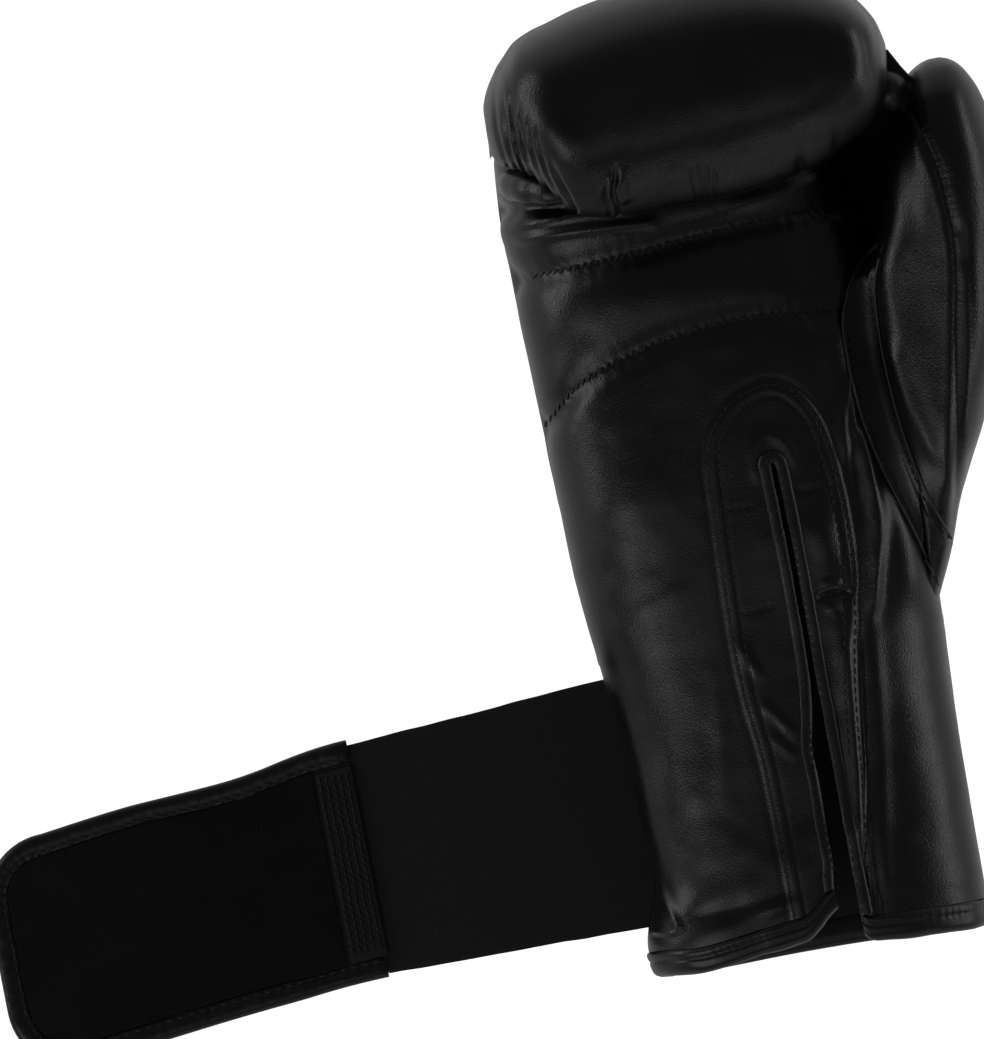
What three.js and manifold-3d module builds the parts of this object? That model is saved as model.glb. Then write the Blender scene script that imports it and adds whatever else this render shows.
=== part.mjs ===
// Kickboxing glove for the right hand, lying on its back with its wrist strap open and laid flat.
// Millimetres. +Z is up, +Y points to the fist, +X to the thumb, and the strap runs out along -X.
// Every leather panel is cut from one padded shell, so that neighbours meet along the same seam line.
import * as THREE from "three";
import { mergeVertices } from "three/addons/utils/BufferGeometryUtils.js";
import Module from "manifold-3d";

const wasm = await Module();
wasm.setup();

// Clearances and cut heights
const GAP = 0.3;
const SPLIT_HEIGHT = 38;
const THUMB_SPLIT_HEIGHT = 45;
const ABOVE_ALL = 200;
const BELOW_ALL = -10;
const SLIT_CUT_HEIGHT = 46;
const BOLSTER_CUT_HEIGHT = 33;
const FAR = 150;

// Lengths along the glove
const HEM_EDGE = -155;
const HEM_WIDTH = 8.2;
const HEM_LIP = 0.9;
const CUFF_SEAM = -58;
const HAND_END = 112;

// Mesh fineness
const HAND_POINTS = { upper: 20, lower: 9 };
const THUMB_POINTS = { upper: 13, lower: 7 };
const FIST_POINTS = { upper: 14, lower: 7 };
const HOLLOW_POINTS = { upper: 7, lower: 7 };

// Section shapes: 2 is an ellipse, larger is squarer
const UPPER_POWER = 2.7;
const LOWER_POWER = 3.2;
const CAVITY_POWER = 2.6;
const FIST_POWER = 2.5;

// Outside of the hand and cuff, one row a section
const HAND_SECTIONS = [
  { y: -155, left: -53, right: 48.5, floor: 2.5, side: 27, top: 57 },
  { y: -146, left: -54, right: 48.8, floor: 0, side: 27, top: 59 },
  { y: -136, left: -52, right: 49, floor: -1.2, side: 28, top: 60 },
  { y: -125, left: -48.5, right: 49, floor: -1.5, side: 29, top: 61 },
  { y: -105, left: -49, right: 49.6, floor: -1.5, side: 30, top: 62 },
  { y: -85, left: -49.5, right: 50.5, floor: -1.5, side: 31, top: 64 },
  { y: -58, left: -52, right: 52, floor: -1.5, side: 33, top: 67 },
  { y: -30, left: -54.5, right: 53, floor: -1.5, side: 36, top: 71 },
  { y: 0, left: -55, right: 53, floor: -1.5, side: 38, top: 74 },
  { y: 30, left: -55.6, right: 53, floor: -1.5, side: 39, top: 76 },
  { y: 60, left: -56, right: 51, floor: -1.5, side: 40, top: 77 },
  { y: 85, left: -55.6, right: 49, floor: -1.5, side: 40, top: 77 },
  { y: 112, left: -50, right: 46, floor: -1, side: 40, top: 74 },
];

// Hollow for the hand, one row a section
const HAND_HOLLOW = [
  { y: -160, left: -48.5, right: 44.5, floor: 11, side: 30, top: 53 },
  { y: -120, left: -44.5, right: 45, floor: 12, side: 32, top: 56.5 },
  { y: -80, left: -45, right: 46, floor: 15, side: 34, top: 59.5 },
  { y: -40, left: -47, right: 46, floor: 22, side: 40, top: 65 },
  { y: 0, left: -47, right: 45, floor: 27, side: 44, top: 69 },
  { y: 40, left: -47, right: 44, floor: 30, side: 48, top: 71 },
  { y: 75, left: -46, right: 41, floor: 32, side: 50, top: 70 },
  { y: 100, left: -42, right: 38, floor: 36, side: 52, top: 70 },
  { y: 114, left: -34, right: 32, floor: 44, side: 54, top: 66 },
];

// Padded fist, one row a section across X; near and far are its Y limits
const FIST_SECTIONS = [
  { x: -54.8, near: 101, far: 110, floor: 34, top: 64 },
  { x: -53.2, near: 96, far: 117, floor: 20, top: 83 },
  { x: -49, near: 91, far: 125, floor: 9, top: 95 },
  { x: -42, near: 84.5, far: 132.5, floor: 3, top: 102.5 },
  { x: -32, near: 80, far: 136.5, floor: -1, top: 107 },
  { x: -20, near: 77, far: 139.5, floor: -1, top: 108 },
  { x: 0, near: 76.5, far: 142, floor: -1, top: 108 },
  { x: 22, near: 78, far: 142, floor: -1, top: 108 },
  { x: 40, near: 81, far: 138, floor: -1, top: 107 },
  { x: 52, near: 87, far: 132.5, floor: 2, top: 103 },
  { x: 60, near: 93, far: 126.5, floor: 8, top: 95 },
  { x: 65, near: 99.5, far: 119, floor: 20, top: 84 },
  { x: 67, near: 105, far: 112.5, floor: 36, top: 66 },
];
const OVERHANG = { reach: 6, low: 58, high: 92, blend: 12 };

// Hollow for the curled fingers, one row a level
const FINGER_HOLLOW = [
  { z: 52, left: -40, right: 38, near: 92, far: 114 },
  { z: 66, left: -40, right: 40, near: 91, far: 117 },
  { z: 80, left: -38, right: 38, near: 93, far: 115 },
  { z: 87, left: -32, right: 30, near: 98, far: 110 },
];

// Outside of the thumb, one row a section
const THUMB_SECTIONS = [
  { y: -57, left: 46, right: 51, floor: 22, side: 34, top: 46 },
  { y: -41, left: 48, right: 58.6, floor: 15, side: 36, top: 60 },
  { y: -27, left: 48, right: 63.5, floor: 11, side: 38, top: 68 },
  { y: -6, left: 47, right: 75, floor: 8, side: 42, top: 76 },
  { y: 20, left: 46.5, right: 87, floor: 7, side: 44, top: 81 },
  { y: 43, left: 48, right: 93, floor: 9, side: 46, top: 86 },
  { y: 60, left: 55, right: 95.5, floor: 12, side: 50, top: 88 },
  { y: 80, left: 61.5, right: 94.5, floor: 18, side: 54, top: 88 },
  { y: 92, left: 66, right: 92, floor: 26, side: 56, top: 84 },
  { y: 99, left: 71.5, right: 89, floor: 35, side: 57, top: 78 },
  { y: 103, left: 77, right: 85, floor: 47, side: 58, top: 69 },
];

// Hollow for the thumb, one row a section
const THUMB_HOLLOW = [
  { y: -28, left: 48, right: 57, floor: 26, side: 38, top: 52 },
  { y: -8, left: 48, right: 66, floor: 20, side: 42, top: 64 },
  { y: 20, left: 50, right: 77, floor: 19, side: 44, top: 72 },
  { y: 45, left: 54, right: 83, floor: 21, side: 48, top: 76 },
  { y: 65, left: 61.5, right: 86, floor: 25, side: 52, top: 78 },
  { y: 84, left: 69, right: 86, floor: 34, side: 56, top: 75 },
  { y: 93, left: 74, right: 84, floor: 46, side: 58, top: 68 },
];

// Way from the hand hollow into the thumb hollow, one row a section across X
const THUMB_WAY = [
  { x: 38, near: -14, far: 36, floor: 33, top: 62 },
  { x: 58, near: -14, far: 36, floor: 33, top: 62 },
];

// Seam lines on the palm side, as seen from above
const GRIP_SEAM = [
  { x: -70, y: 62.4 },
  { x: -29, y: 63 },
  { x: 2, y: 65 },
  { x: 33, y: 66 },
  { x: 56, y: 65.6 },
];
const PALM_SEAM = [
  { x: -70, y: 8 },
  { x: -55, y: 18 },
  { x: -42, y: 28 },
  { x: -22, y: 35 },
  { x: -3, y: 38 },
  { x: 15, y: 38 },
  { x: 39.6, y: 34 },
];
const GUSSET_PALM_EDGE = [
  { x: 55, y: -62 },
  { x: 49, y: -39 },
  { x: 45, y: -24 },
  { x: 41, y: -10 },
  { x: 38.4, y: 8 },
  { x: 38.2, y: 24 },
  { x: 39.6, y: 34 },
  { x: 41.4, y: 40 },
  { x: 46, y: 46.5 },
  { x: 56, y: 53.5 },
];
const GUSSET_THUMB_EDGE = [
  { x: 62, y: -62 },
  { x: 59, y: -41 },
  { x: 54, y: -24 },
  { x: 50.6, y: -5 },
  { x: 49.2, y: 13 },
  { x: 49.4, y: 30 },
  { x: 51, y: 42 },
  { x: 56, y: 53.5 },
];
const THUMB_GATHER_SEAM = [
  { x: 66, y: -62 },
  { x: 61, y: -41 },
  { x: 62.8, y: -28 },
  { x: 67, y: -4 },
  { x: 71, y: 19 },
  { x: 75.6, y: 43 },
  { x: 76, y: 56 },
  { x: 75, y: 70 },
  { x: 72.5, y: 82 },
  { x: 70, y: 92 },
  { x: 60, y: 98 },
];
const PATCH_BORDER = [
  { x: -10.2, y: -160 },
  { x: -10.3, y: -106 },
  { x: -12.4, y: -74 },
  { x: -12.3, y: -44 },
  { x: -11, y: -19 },
  { x: -9, y: 3 },
  { x: -2, y: 13 },
  { x: 6, y: 17.4 },
  { x: 14, y: 18.4 },
  { x: 21, y: 14.5 },
  { x: 26.5, y: 6 },
  { x: 29, y: -6 },
  { x: 30, y: -25 },
  { x: 28.6, y: -46 },
  { x: 23, y: -76 },
  { x: 20, y: -101 },
  { x: 18, y: -160 },
];

// Small bolster under the gathers at the fist's outer corner
const BOLSTER_SEAM = [
  { x: -70, y: 84.5 },
  { x: -50, y: 83.5 },
  { x: -43, y: 82 },
  { x: -40, y: 86 },
  { x: -42, y: 100 },
];

// Relief of the palm side: seams pressed in, and mounds and creases, faded out towards the sides
const RELIEF_SPREAD = 1.6;
const SEAM_RELIEF = [
  { line: GRIP_SEAM, depth: 2.6, reach: 4.2 },
  { line: PALM_SEAM, depth: 2, reach: 4.2 },
  { line: GUSSET_PALM_EDGE, depth: 1.6, reach: 3.4 },
  { line: GUSSET_THUMB_EDGE, depth: 1.6, reach: 3.4 },
  { line: THUMB_GATHER_SEAM, depth: 2, reach: 3.6 },
];
const MOUNDS = [
  { x: -47, y: 77, wide: 14, long: 4.5, rise: 2.4 },
  { x: -10, y: 74, wide: 40, long: 5, rise: 1.6 },
  { x: -20, y: 50, wide: 34, long: 9, rise: 1.6 },
  { x: -34, y: -2, wide: 14, long: 24, rise: 1.8 },
  { x: 39, y: -62, wide: 6, long: 40, rise: 1.8 },
  { x: 58, y: 8, wide: 7, long: 24, rise: 2 },
];
const CREASES = [
  { fromX: 27, fromY: -58, toX: 16, toY: -143, depth: 3, reach: 3 },
  { fromX: 37, fromY: -20, toX: 33, toY: -50, depth: 1.6, reach: 3 },
  { fromX: -30, fromY: -66, toX: -26, toY: -120, depth: 1.4, reach: 4 },
  { fromX: -16, fromY: -48, toX: -24, toY: -100, depth: 1.2, reach: 3.5 },
];

// Gathers where the padded fist is sewn down, one row a fold
const GATHERS = [
  { x: -52.6, wide: 0.9, depth: 0.9, low: 92, high: 122 },
  { x: -50.2, wide: 0.9, depth: 1.1, low: 92, high: 121 },
  { x: -47.8, wide: 0.9, depth: 1.3, low: 90, high: 119 },
  { x: -45.4, wide: 0.9, depth: 1.4, low: 88, high: 117 },
  { x: -43, wide: 0.9, depth: 1.4, low: 86, high: 114 },
  { x: -40.4, wide: 1, depth: 1.3, low: 84, high: 109 },
  { x: -37.4, wide: 1.1, depth: 1.2, low: 82, high: 103 },
  { x: -34, wide: 1.2, depth: 0.9, low: 80, high: 97 },
  { x: -20, wide: 2, depth: 1.8, low: 74, high: 91 },
  { x: 6, wide: 2, depth: 1.3, low: 74, high: 87 },
];
const GATHER_FADE = { start: 5, end: 12, low: 60, rise: 18, core: 10 };

// Opening slit in the cuff and the rounded binding along it
const SLIT = { topX: 10, topY: -3.5, bottomLeft: 3.6, bottomRight: 12, topGap: 1 };
const PIPING = { radius: 2.1, lift: 0.6, points: 8 };

// Strap
const STRAP = {
  thick: 1.8,
  outline: [
    { x: -132, y: -64.8 },
    { x: -132, y: -134.8 },
    { x: -50, y: -136 },
    { x: -34, y: -135 },
    { x: -34, y: -60 },
    { x: -50, y: -60 },
  ],
};
const TAB = {
  start: -132.3,
  end: -247,
  upperStart: -64.4,
  upperEnd: -73.6,
  lowerStart: -135.8,
  lowerEnd: -145,
  corner: 20,
  base: 2,
  binding: 6.3,
  bindingHeight: 3.7,
  bindingWall: 1.3,
  hook: 1.1,
  join: 11,
  past: 5,
};

// Thumb keeper and web
const KEEPER = {
  low: 52,
  high: 68,
  outline: [
    { x: 62, y: 108.5 },
    { x: 63.6, y: 110.4 },
    { x: 77.6, y: 99.4 },
    { x: 76, y: 97.5 },
  ],
};
const WEB = {
  low: 28,
  high: 31,
  outline: [
    { x: 49, y: 46 },
    { x: 60, y: 46 },
    { x: 72, y: 70 },
    { x: 80, y: 92 },
    { x: 72, y: 101 },
    { x: 60, y: 104 },
    { x: 48, y: 88 },
  ],
};

const smooth = (t) => {
  const u = Math.min(Math.max(t, 0), 1);
  return u * u * (3 - 2 * u);
};

const power = (value, exponent) => Math.sign(value) * Math.abs(value) ** exponent;

// Value of a column at a place between the rows, along a smooth curve through them
function sample(rows, key, at, column) {
  const last = rows.length - 1;
  let i = 0;
  while (i < last - 1 && at > rows[i + 1][key]) {
    i += 1;
  }
  const slope = (j) => {
    const before = rows[Math.max(j - 1, 0)];
    const after = rows[Math.min(j + 1, last)];
    return (after[column] - before[column]) / (after[key] - before[key]);
  };
  const from = rows[i];
  const to = rows[i + 1];
  const span = to[key] - from[key];
  const t = Math.min(Math.max((at - from[key]) / span, 0), 1);
  const start = from[column] * (2 * t ** 3 - 3 * t ** 2 + 1) + slope(i) * span * (t ** 3 - 2 * t ** 2 + t);
  const finish = to[column] * (3 * t ** 2 - 2 * t ** 3) + slope(i + 1) * span * (t ** 3 - t ** 2);
  return start + finish;
}

// Every column of a table at one place
function sampleRow(rows, key, at) {
  const row = { [key]: at };
  for (const column of Object.keys(rows[0])) {
    if (column !== key) {
      row[column] = sample(rows, key, at, column);
    }
  }
  return row;
}

// Distance from a point to a line of points
function distanceTo(line, x, y) {
  let least = Infinity;
  for (let i = 1; i < line.length; i += 1) {
    const a = line[i - 1];
    const b = line[i];
    const run = (b.x - a.x) ** 2 + (b.y - a.y) ** 2;
    const t = Math.min(Math.max(((x - a.x) * (b.x - a.x) + (y - a.y) * (b.y - a.y)) / run, 0), 1);
    least = Math.min(least, Math.hypot(x - a.x - t * (b.x - a.x), y - a.y - t * (b.y - a.y)));
  }
  return least;
}

// Height that seams, mounds and creases add to the palm side
function palmRelief(x, y) {
  let height = 0;
  for (const seam of SEAM_RELIEF) {
    height -= seam.depth * Math.exp(-((distanceTo(seam.line, x, y) / seam.reach) ** 2));
  }
  for (const mound of MOUNDS) {
    height += mound.rise * Math.exp(-(((x - mound.x) / mound.wide) ** 2) - ((y - mound.y) / mound.long) ** 2);
  }
  for (const crease of CREASES) {
    const line = [
      { x: crease.fromX, y: crease.fromY },
      { x: crease.toX, y: crease.toY },
    ];
    height -= crease.depth * Math.exp(-((distanceTo(line, x, y) / crease.reach) ** 2));
  }
  return height;
}

// Closed surface through a row of rings, with a fan over each end
function loft(rings) {
  const count = rings[0].length;
  const points = rings.flat();
  const faces = [];
  for (let i = 0; i < rings.length - 1; i += 1) {
    for (let j = 0; j < count; j += 1) {
      const a = i * count + j;
      const b = i * count + ((j + 1) % count);
      faces.push(a, b, a + count, b, b + count, a + count);
    }
  }
  for (const [ring, flip] of [
    [0, true],
    [rings.length - 1, false],
  ]) {
    const centre = new THREE.Vector3();
    rings[ring].forEach((p) => centre.addScaledVector(p, 1 / count));
    points.push(centre);
    for (let j = 0; j < count; j += 1) {
      const a = ring * count + j;
      const b = ring * count + ((j + 1) % count);
      faces.push(...(flip ? [b, a] : [a, b]), points.length - 1);
    }
  }
  const geometry = new THREE.BufferGeometry().setFromPoints(points);
  geometry.setIndex(faces);
  return geometry;
}

// Signed volume of a closed surface
function signedVolume(geometry) {
  const p = geometry.attributes.position;
  const [a, b, c] = [new THREE.Vector3(), new THREE.Vector3(), new THREE.Vector3()];
  let volume = 0;
  for (let i = 0; i < geometry.index.count; i += 3) {
    a.fromBufferAttribute(p, geometry.index.getX(i));
    b.fromBufferAttribute(p, geometry.index.getX(i + 1));
    c.fromBufferAttribute(p, geometry.index.getX(i + 2));
    volume += a.dot(b.cross(c)) / 6;
  }
  return volume;
}

// Solid from a closed surface, turned to face out
function solid(geometry) {
  const plain = geometry.clone();
  plain.deleteAttribute("normal");
  plain.deleteAttribute("uv");
  const welded = mergeVertices(plain, 1e-4);
  const triangles = Array.from(welded.index.array);
  if (signedVolume(welded) < 0) {
    triangles.reverse();
  }
  return new wasm.Manifold(
    new wasm.Mesh({
      numProp: 3,
      vertProperties: new Float32Array(welded.attributes.position.array),
      triVerts: new Uint32Array(triangles),
    }),
  );
}

// Upright solid over an outline of { x, y } points
function prism(outline, low, high) {
  const shape = new THREE.Shape(outline.map((p) => new THREE.Vector2(p.x, p.y)));
  const geometry = new THREE.ExtrudeGeometry(shape, { depth: high - low, bevelEnabled: false });
  geometry.translate(0, 0, low);
  return solid(geometry);
}

// Upright block between limits in X, Y and Z
function block(minX, maxX, minY, maxY, low, high) {
  return prism(
    [
      { x: minX, y: minY },
      { x: maxX, y: minY },
      { x: maxX, y: maxY },
      { x: minX, y: maxY },
    ],
    low,
    high,
  );
}

// Line of points moved sideways, to its left for a positive distance
function moved(line, distance) {
  return line.map((p, i) => {
    const before = line[Math.max(i - 1, 0)];
    const after = line[Math.min(i + 1, line.length - 1)];
    const length = Math.hypot(after.x - before.x, after.y - before.y);
    return {
      x: p.x - (distance * (after.y - before.y)) / length,
      y: p.y + (distance * (after.x - before.x)) / length,
    };
  });
}

// Thin upright wall along a seam line, cut away to part two panels
const seamWall = (line, low) =>
  prism([...moved(line, GAP / 2), ...moved(line, -GAP / 2).reverse()], low, ABOVE_ALL);

// Ring of points round a section; place() puts a point given across and up
function sectionRing(row, across, count, powers, place) {
  const [low, high] = across;
  const middle = (row[low] + row[high]) / 2;
  const half = (row[high] - row[low]) / 2;
  const side = row.side ?? (row.floor + row.top) / 2;
  const ring = [];
  for (let i = 0; i < count.upper + count.lower; i += 1) {
    const over = i < count.upper;
    const angle = over ? (Math.PI * i) / count.upper : Math.PI * (1 + (i - count.upper) / count.lower);
    const sine = Math.sin(angle);
    const exponent = 2 / (over ? powers.upper : powers.lower);
    const reach = over ? row.top - side : side - row.floor;
    ring.push(
      place(middle + half * power(Math.cos(angle), exponent), side + reach * power(sine, exponent), sine),
    );
  }
  return ring;
}

const spread = (from, to, step) => {
  const count = Math.max(1, Math.round((to - from) / step));
  return Array.from({ length: count + 1 }, (_, i) => from + ((to - from) * i) / count);
};

const grown = (row, low, high, grow) => ({
  ...row,
  [low]: row[low] - grow,
  [high]: row[high] + grow,
  floor: row.floor - grow,
  top: row.top + grow,
});

const FIST_POWERS = { upper: FIST_POWER, lower: FIST_POWER };
const OUTER_POWERS = { upper: UPPER_POWER, lower: LOWER_POWER };
const HOLLOW_POWERS = { upper: CAVITY_POWER, lower: CAVITY_POWER };

// Tube along Y over a table of sections, optionally with the palm relief
function tubeAlongY(rows, stations, count, powers, grow, relief) {
  return solid(
    loft(
      stations.map((y) =>
        sectionRing(
          grown(sampleRow(rows, "y", y), "left", "right", grow),
          ["left", "right"],
          count,
          powers,
          (x, z, sine) => {
            const lift = relief ? palmRelief(x, y) * smooth(sine * RELIEF_SPREAD) : 0;
            return new THREE.Vector3(x, y, Math.max(z + lift, -grow));
          },
        ),
      ),
    ),
  );
}

const handStations = [
  ...spread(HEM_EDGE, -60, 9.5),
  ...spread(-50, 10, 10),
  ...spread(18, 40, 5.5),
  ...spread(47, 59, 6),
  62,
  65,
  68,
  ...spread(73, 85, 6),
  98,
  HAND_END,
];

const handOutside = (grow) => tubeAlongY(HAND_SECTIONS, handStations, HAND_POINTS, OUTER_POWERS, grow, true);

const thumbStations = [...spread(-57, 84, 9), 92, 98, 101.5, 103];

const thumbOutside = (grow) =>
  tubeAlongY(THUMB_SECTIONS, thumbStations, THUMB_POINTS, OUTER_POWERS, grow, true);

// Depth of the sewn gathers at a place on the fist
function gatherDepth(x, y, z) {
  let depth = 0;
  for (const fold of GATHERS) {
    const along = smooth((y - fold.low) / GATHER_FADE.start) * smooth((fold.high - y) / GATHER_FADE.end);
    depth += fold.depth * Math.exp(-(((x - fold.x) / fold.wide) ** 2)) * along;
  }
  return depth * smooth((z - GATHER_FADE.low) / GATHER_FADE.rise);
}

// Padded fist as a row of sections across X
function fistOutside(grow) {
  const first = FIST_SECTIONS[0].x;
  const last = FIST_SECTIONS[FIST_SECTIONS.length - 1].x;
  const columns = [first, -54, ...spread(-53.2, -33.2, 1.25), -28, -23, ...spread(-21.5, -18.5, 1.5)];
  columns.push(-12, -3, ...spread(4, 8, 2), ...spread(16, 52, 9), 57, 61.5, 65.5, last);
  const rings = columns.map((x) => {
    const row = grown(sampleRow(FIST_SECTIONS, "x", x), "near", "far", grow);
    const middle = (first + last) / 2;
    const wide = 1 + (2 * grow) / (last - first);
    const centreY = (row.near + row.far) / 2;
    const centreZ = (row.floor + row.top) / 2;
    return sectionRing(row, ["near", "far"], FIST_POINTS, FIST_POWERS, (y, z) => {
      const inward = y < centreY ? 1 : 0;
      const under = 1 - smooth((z - OVERHANG.low) / (OVERHANG.high - OVERHANG.low));
      const tuck = inward * OVERHANG.reach * under * smooth((centreY - y) / OVERHANG.blend);
      const deep = gatherDepth(x, y, z);
      const pull = 1 - deep / Math.max(Math.hypot(y - centreY, z - centreZ), GATHER_FADE.core);
      return new THREE.Vector3(
        middle + (x - middle) * wide,
        centreY + (y + tuck - centreY) * pull,
        Math.max(centreZ + (z - centreZ) * pull, -grow),
      );
    });
  });
  return solid(loft(rings));
}

const hand = handOutside(0);
const handGrown = handOutside(GAP);
const thumb = thumbOutside(0);
const thumbGrown = thumbOutside(GAP);
const fist = fistOutside(0);
const fistGrown = fistOutside(GAP);

const handHollow = tubeAlongY(HAND_HOLLOW, spread(-160, 114, 19), HOLLOW_POINTS, HOLLOW_POWERS, 0, false);
const thumbHollow = tubeAlongY(THUMB_HOLLOW, spread(-28, 93, 14), HOLLOW_POINTS, HOLLOW_POWERS, 0, false);
const fingerHollow = solid(
  loft(
    FINGER_HOLLOW.map((row) =>
      sectionRing(
        { left: row.left, right: row.right, floor: row.near, top: row.far },
        ["left", "right"],
        HOLLOW_POINTS,
        HOLLOW_POWERS,
        (x, y) => new THREE.Vector3(x, y, row.z),
      ),
    ),
  ),
);
const thumbWay = solid(
  loft(
    THUMB_WAY.map((row) =>
      sectionRing(row, ["near", "far"], HOLLOW_POINTS, HOLLOW_POWERS, (y, z) => new THREE.Vector3(row.x, y, z)),
    ),
  ),
);
const hollow = handHollow.add(thumbHollow).add(fingerHollow).add(thumbWay);

// Whole padded shells
const handShell = hand.subtract(hollow);
const thumbShell = thumb.subtract(hollow);
const joinedShell = hand.add(thumb).subtract(hollow);

// Panel outlines, from the shared seam lines
const far = (x, y) => ({ x, y });
const gripOutline = [far(-FAR, FAR), far(-FAR, GRIP_SEAM[0].y), ...GRIP_SEAM, far(FAR, FAR)];
const bolsterOutline = [far(-FAR, FAR), far(-FAR, BOLSTER_SEAM[0].y), ...BOLSTER_SEAM, far(-42, FAR)];
const upperOutline = [
  ...GRIP_SEAM,
  far(56, 53.5),
  ...GUSSET_PALM_EDGE.filter((p) => p.y > 34 && p.y < 53).reverse(),
  ...[...PALM_SEAM].reverse(),
];
const lowerOutline = [
  ...PALM_SEAM,
  ...GUSSET_PALM_EDGE.filter((p) => p.y < 34).reverse(),
  far(FAR, -62),
  far(FAR, -FAR * 2),
  far(-FAR, -FAR * 2),
  far(-FAR, 8),
];
const gussetOutline = [...GUSSET_PALM_EDGE, ...GUSSET_THUMB_EDGE.slice(0, -1).reverse()];
const panelOutline = [
  ...[...GUSSET_THUMB_EDGE].slice(1),
  far(53, 66),
  far(54, 80),
  far(60, 98),
  ...[...THUMB_GATHER_SEAM].reverse().slice(1, -1),
];

const slitEdge = (y, top, bottom) => THREE.MathUtils.mapLinear(y, SLIT.topY, HEM_EDGE, top, bottom);
const slitLeft = (y) => slitEdge(y, SLIT.topX - SLIT.topGap / 2, SLIT.bottomLeft);
const slitRight = (y) => slitEdge(y, SLIT.topX + SLIT.topGap / 2, SLIT.bottomRight);

// Outline of the slit widened by a margin on each side
function slitOutline(margin) {
  const bottom = HEM_EDGE - 20;
  const top = SLIT.topY - 3;
  const arch = [];
  const centre = (slitLeft(top) + slitRight(top)) / 2;
  const radius = (slitRight(top) - slitLeft(top)) / 2 + margin;
  for (let i = 0; i <= 8; i += 1) {
    const angle = (Math.PI * i) / 8;
    arch.push(far(centre + radius * Math.cos(angle), top + radius * Math.sin(angle)));
  }
  return [far(slitLeft(bottom) - margin, bottom), far(slitRight(bottom) + margin, bottom), ...arch];
}

const pipingWidth = 2 * PIPING.radius;
const slitCut = prism(slitOutline(pipingWidth + GAP), SLIT_CUT_HEIGHT, ABOVE_ALL);
const slitGap = prism(slitOutline(0), SLIT_CUT_HEIGHT, ABOVE_ALL);

const wallsOf = (lines, low) =>
  lines.map((line) => seamWall(line, low)).reduce((all, wall) => all.add(wall));
const seams = wallsOf([GRIP_SEAM, PALM_SEAM, BOLSTER_SEAM], SPLIT_HEIGHT - GAP).add(
  wallsOf([GUSSET_PALM_EDGE, GUSSET_THUMB_EDGE, THUMB_GATHER_SEAM], THUMB_SPLIT_HEIGHT - GAP),
);
const gussetWall = seamWall(GUSSET_PALM_EDGE, SPLIT_HEIGHT - GAP);
const patchWall = seamWall(PATCH_BORDER, SPLIT_HEIGHT - GAP);

const panelOf = (shell, outline, low) => shell.intersect(prism(outline, low, ABOVE_ALL));

const aboveHem = block(-FAR, FAR, HEM_EDGE + HEM_WIDTH + GAP, FAR, BELOW_ALL, ABOVE_ALL);
const patchZone = prism(PATCH_BORDER, SPLIT_HEIGHT, ABOVE_ALL);

const grip = panelOf(handShell, gripOutline, SPLIT_HEIGHT)
  .subtract(prism(bolsterOutline, BOLSTER_CUT_HEIGHT, ABOVE_ALL))
  .subtract(seams)
  .subtract(fistGrown)
  .subtract(thumbGrown);
const bolster = panelOf(handShell, bolsterOutline, SPLIT_HEIGHT).subtract(seams).subtract(fistGrown);
const palmUpper = panelOf(handShell, upperOutline, SPLIT_HEIGHT).subtract(seams).subtract(thumbGrown);
const palmLower = panelOf(handShell, lowerOutline, SPLIT_HEIGHT)
  .intersect(aboveHem)
  .subtract(seams)
  .subtract(patchZone)
  .subtract(patchWall)
  .subtract(thumbGrown);
const patch = handShell.intersect(patchZone).intersect(aboveHem).subtract(patchWall).subtract(slitCut);
const gusset = panelOf(joinedShell, gussetOutline, THUMB_SPLIT_HEIGHT).subtract(seams);
const thumbPanel = panelOf(joinedShell, panelOutline, THUMB_SPLIT_HEIGHT).subtract(seams);

// The back and the thumb pad keep what the palm panels leave
const zoneOf = (outline) => prism(outline, SPLIT_HEIGHT - GAP, ABOVE_ALL);
const palmZone = zoneOf(upperOutline).add(zoneOf(lowerOutline));
const thumbZone = [gussetOutline, panelOutline]
  .map((outline) => prism(outline, THUMB_SPLIT_HEIGHT - GAP, ABOVE_ALL))
  .reduce((all, zone) => all.add(zone));
const cuffZone = block(-FAR, FAR, -FAR * 2, CUFF_SEAM, BELOW_ALL, ABOVE_ALL);
const cuffZoneGrown = block(-FAR, FAR, -FAR * 2, CUFF_SEAM + GAP, BELOW_ALL, ABOVE_ALL);

const backShell = handShell
  .subtract(palmZone)
  .subtract(zoneOf(gripOutline))
  .subtract(thumbZone)
  .subtract(seams)
  .subtract(gussetWall);
const handBack = backShell.subtract(cuffZoneGrown).subtract(fistGrown);
const fistPad = fist.subtract(hollow);
const cuffBack = backShell.intersect(cuffZone).intersect(aboveHem);
const thumbPad = thumbShell
  .subtract(handGrown)
  .subtract(thumbZone)
  .subtract(palmZone)
  .subtract(fistGrown)
  .subtract(seams);

// Hem band wraps the edge of the cuff a little thicker than the panels
const hemZone = block(-FAR, FAR, HEM_EDGE - 10, HEM_EDGE + HEM_WIDTH, 0, ABOVE_ALL);
const hemHollow = tubeAlongY(HAND_HOLLOW, spread(-160, -139, 10.5), HAND_POINTS, HOLLOW_POWERS, -HEM_LIP, false);
const hem = handOutside(HEM_LIP).subtract(hemHollow).intersect(hemZone).subtract(slitGap);

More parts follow.
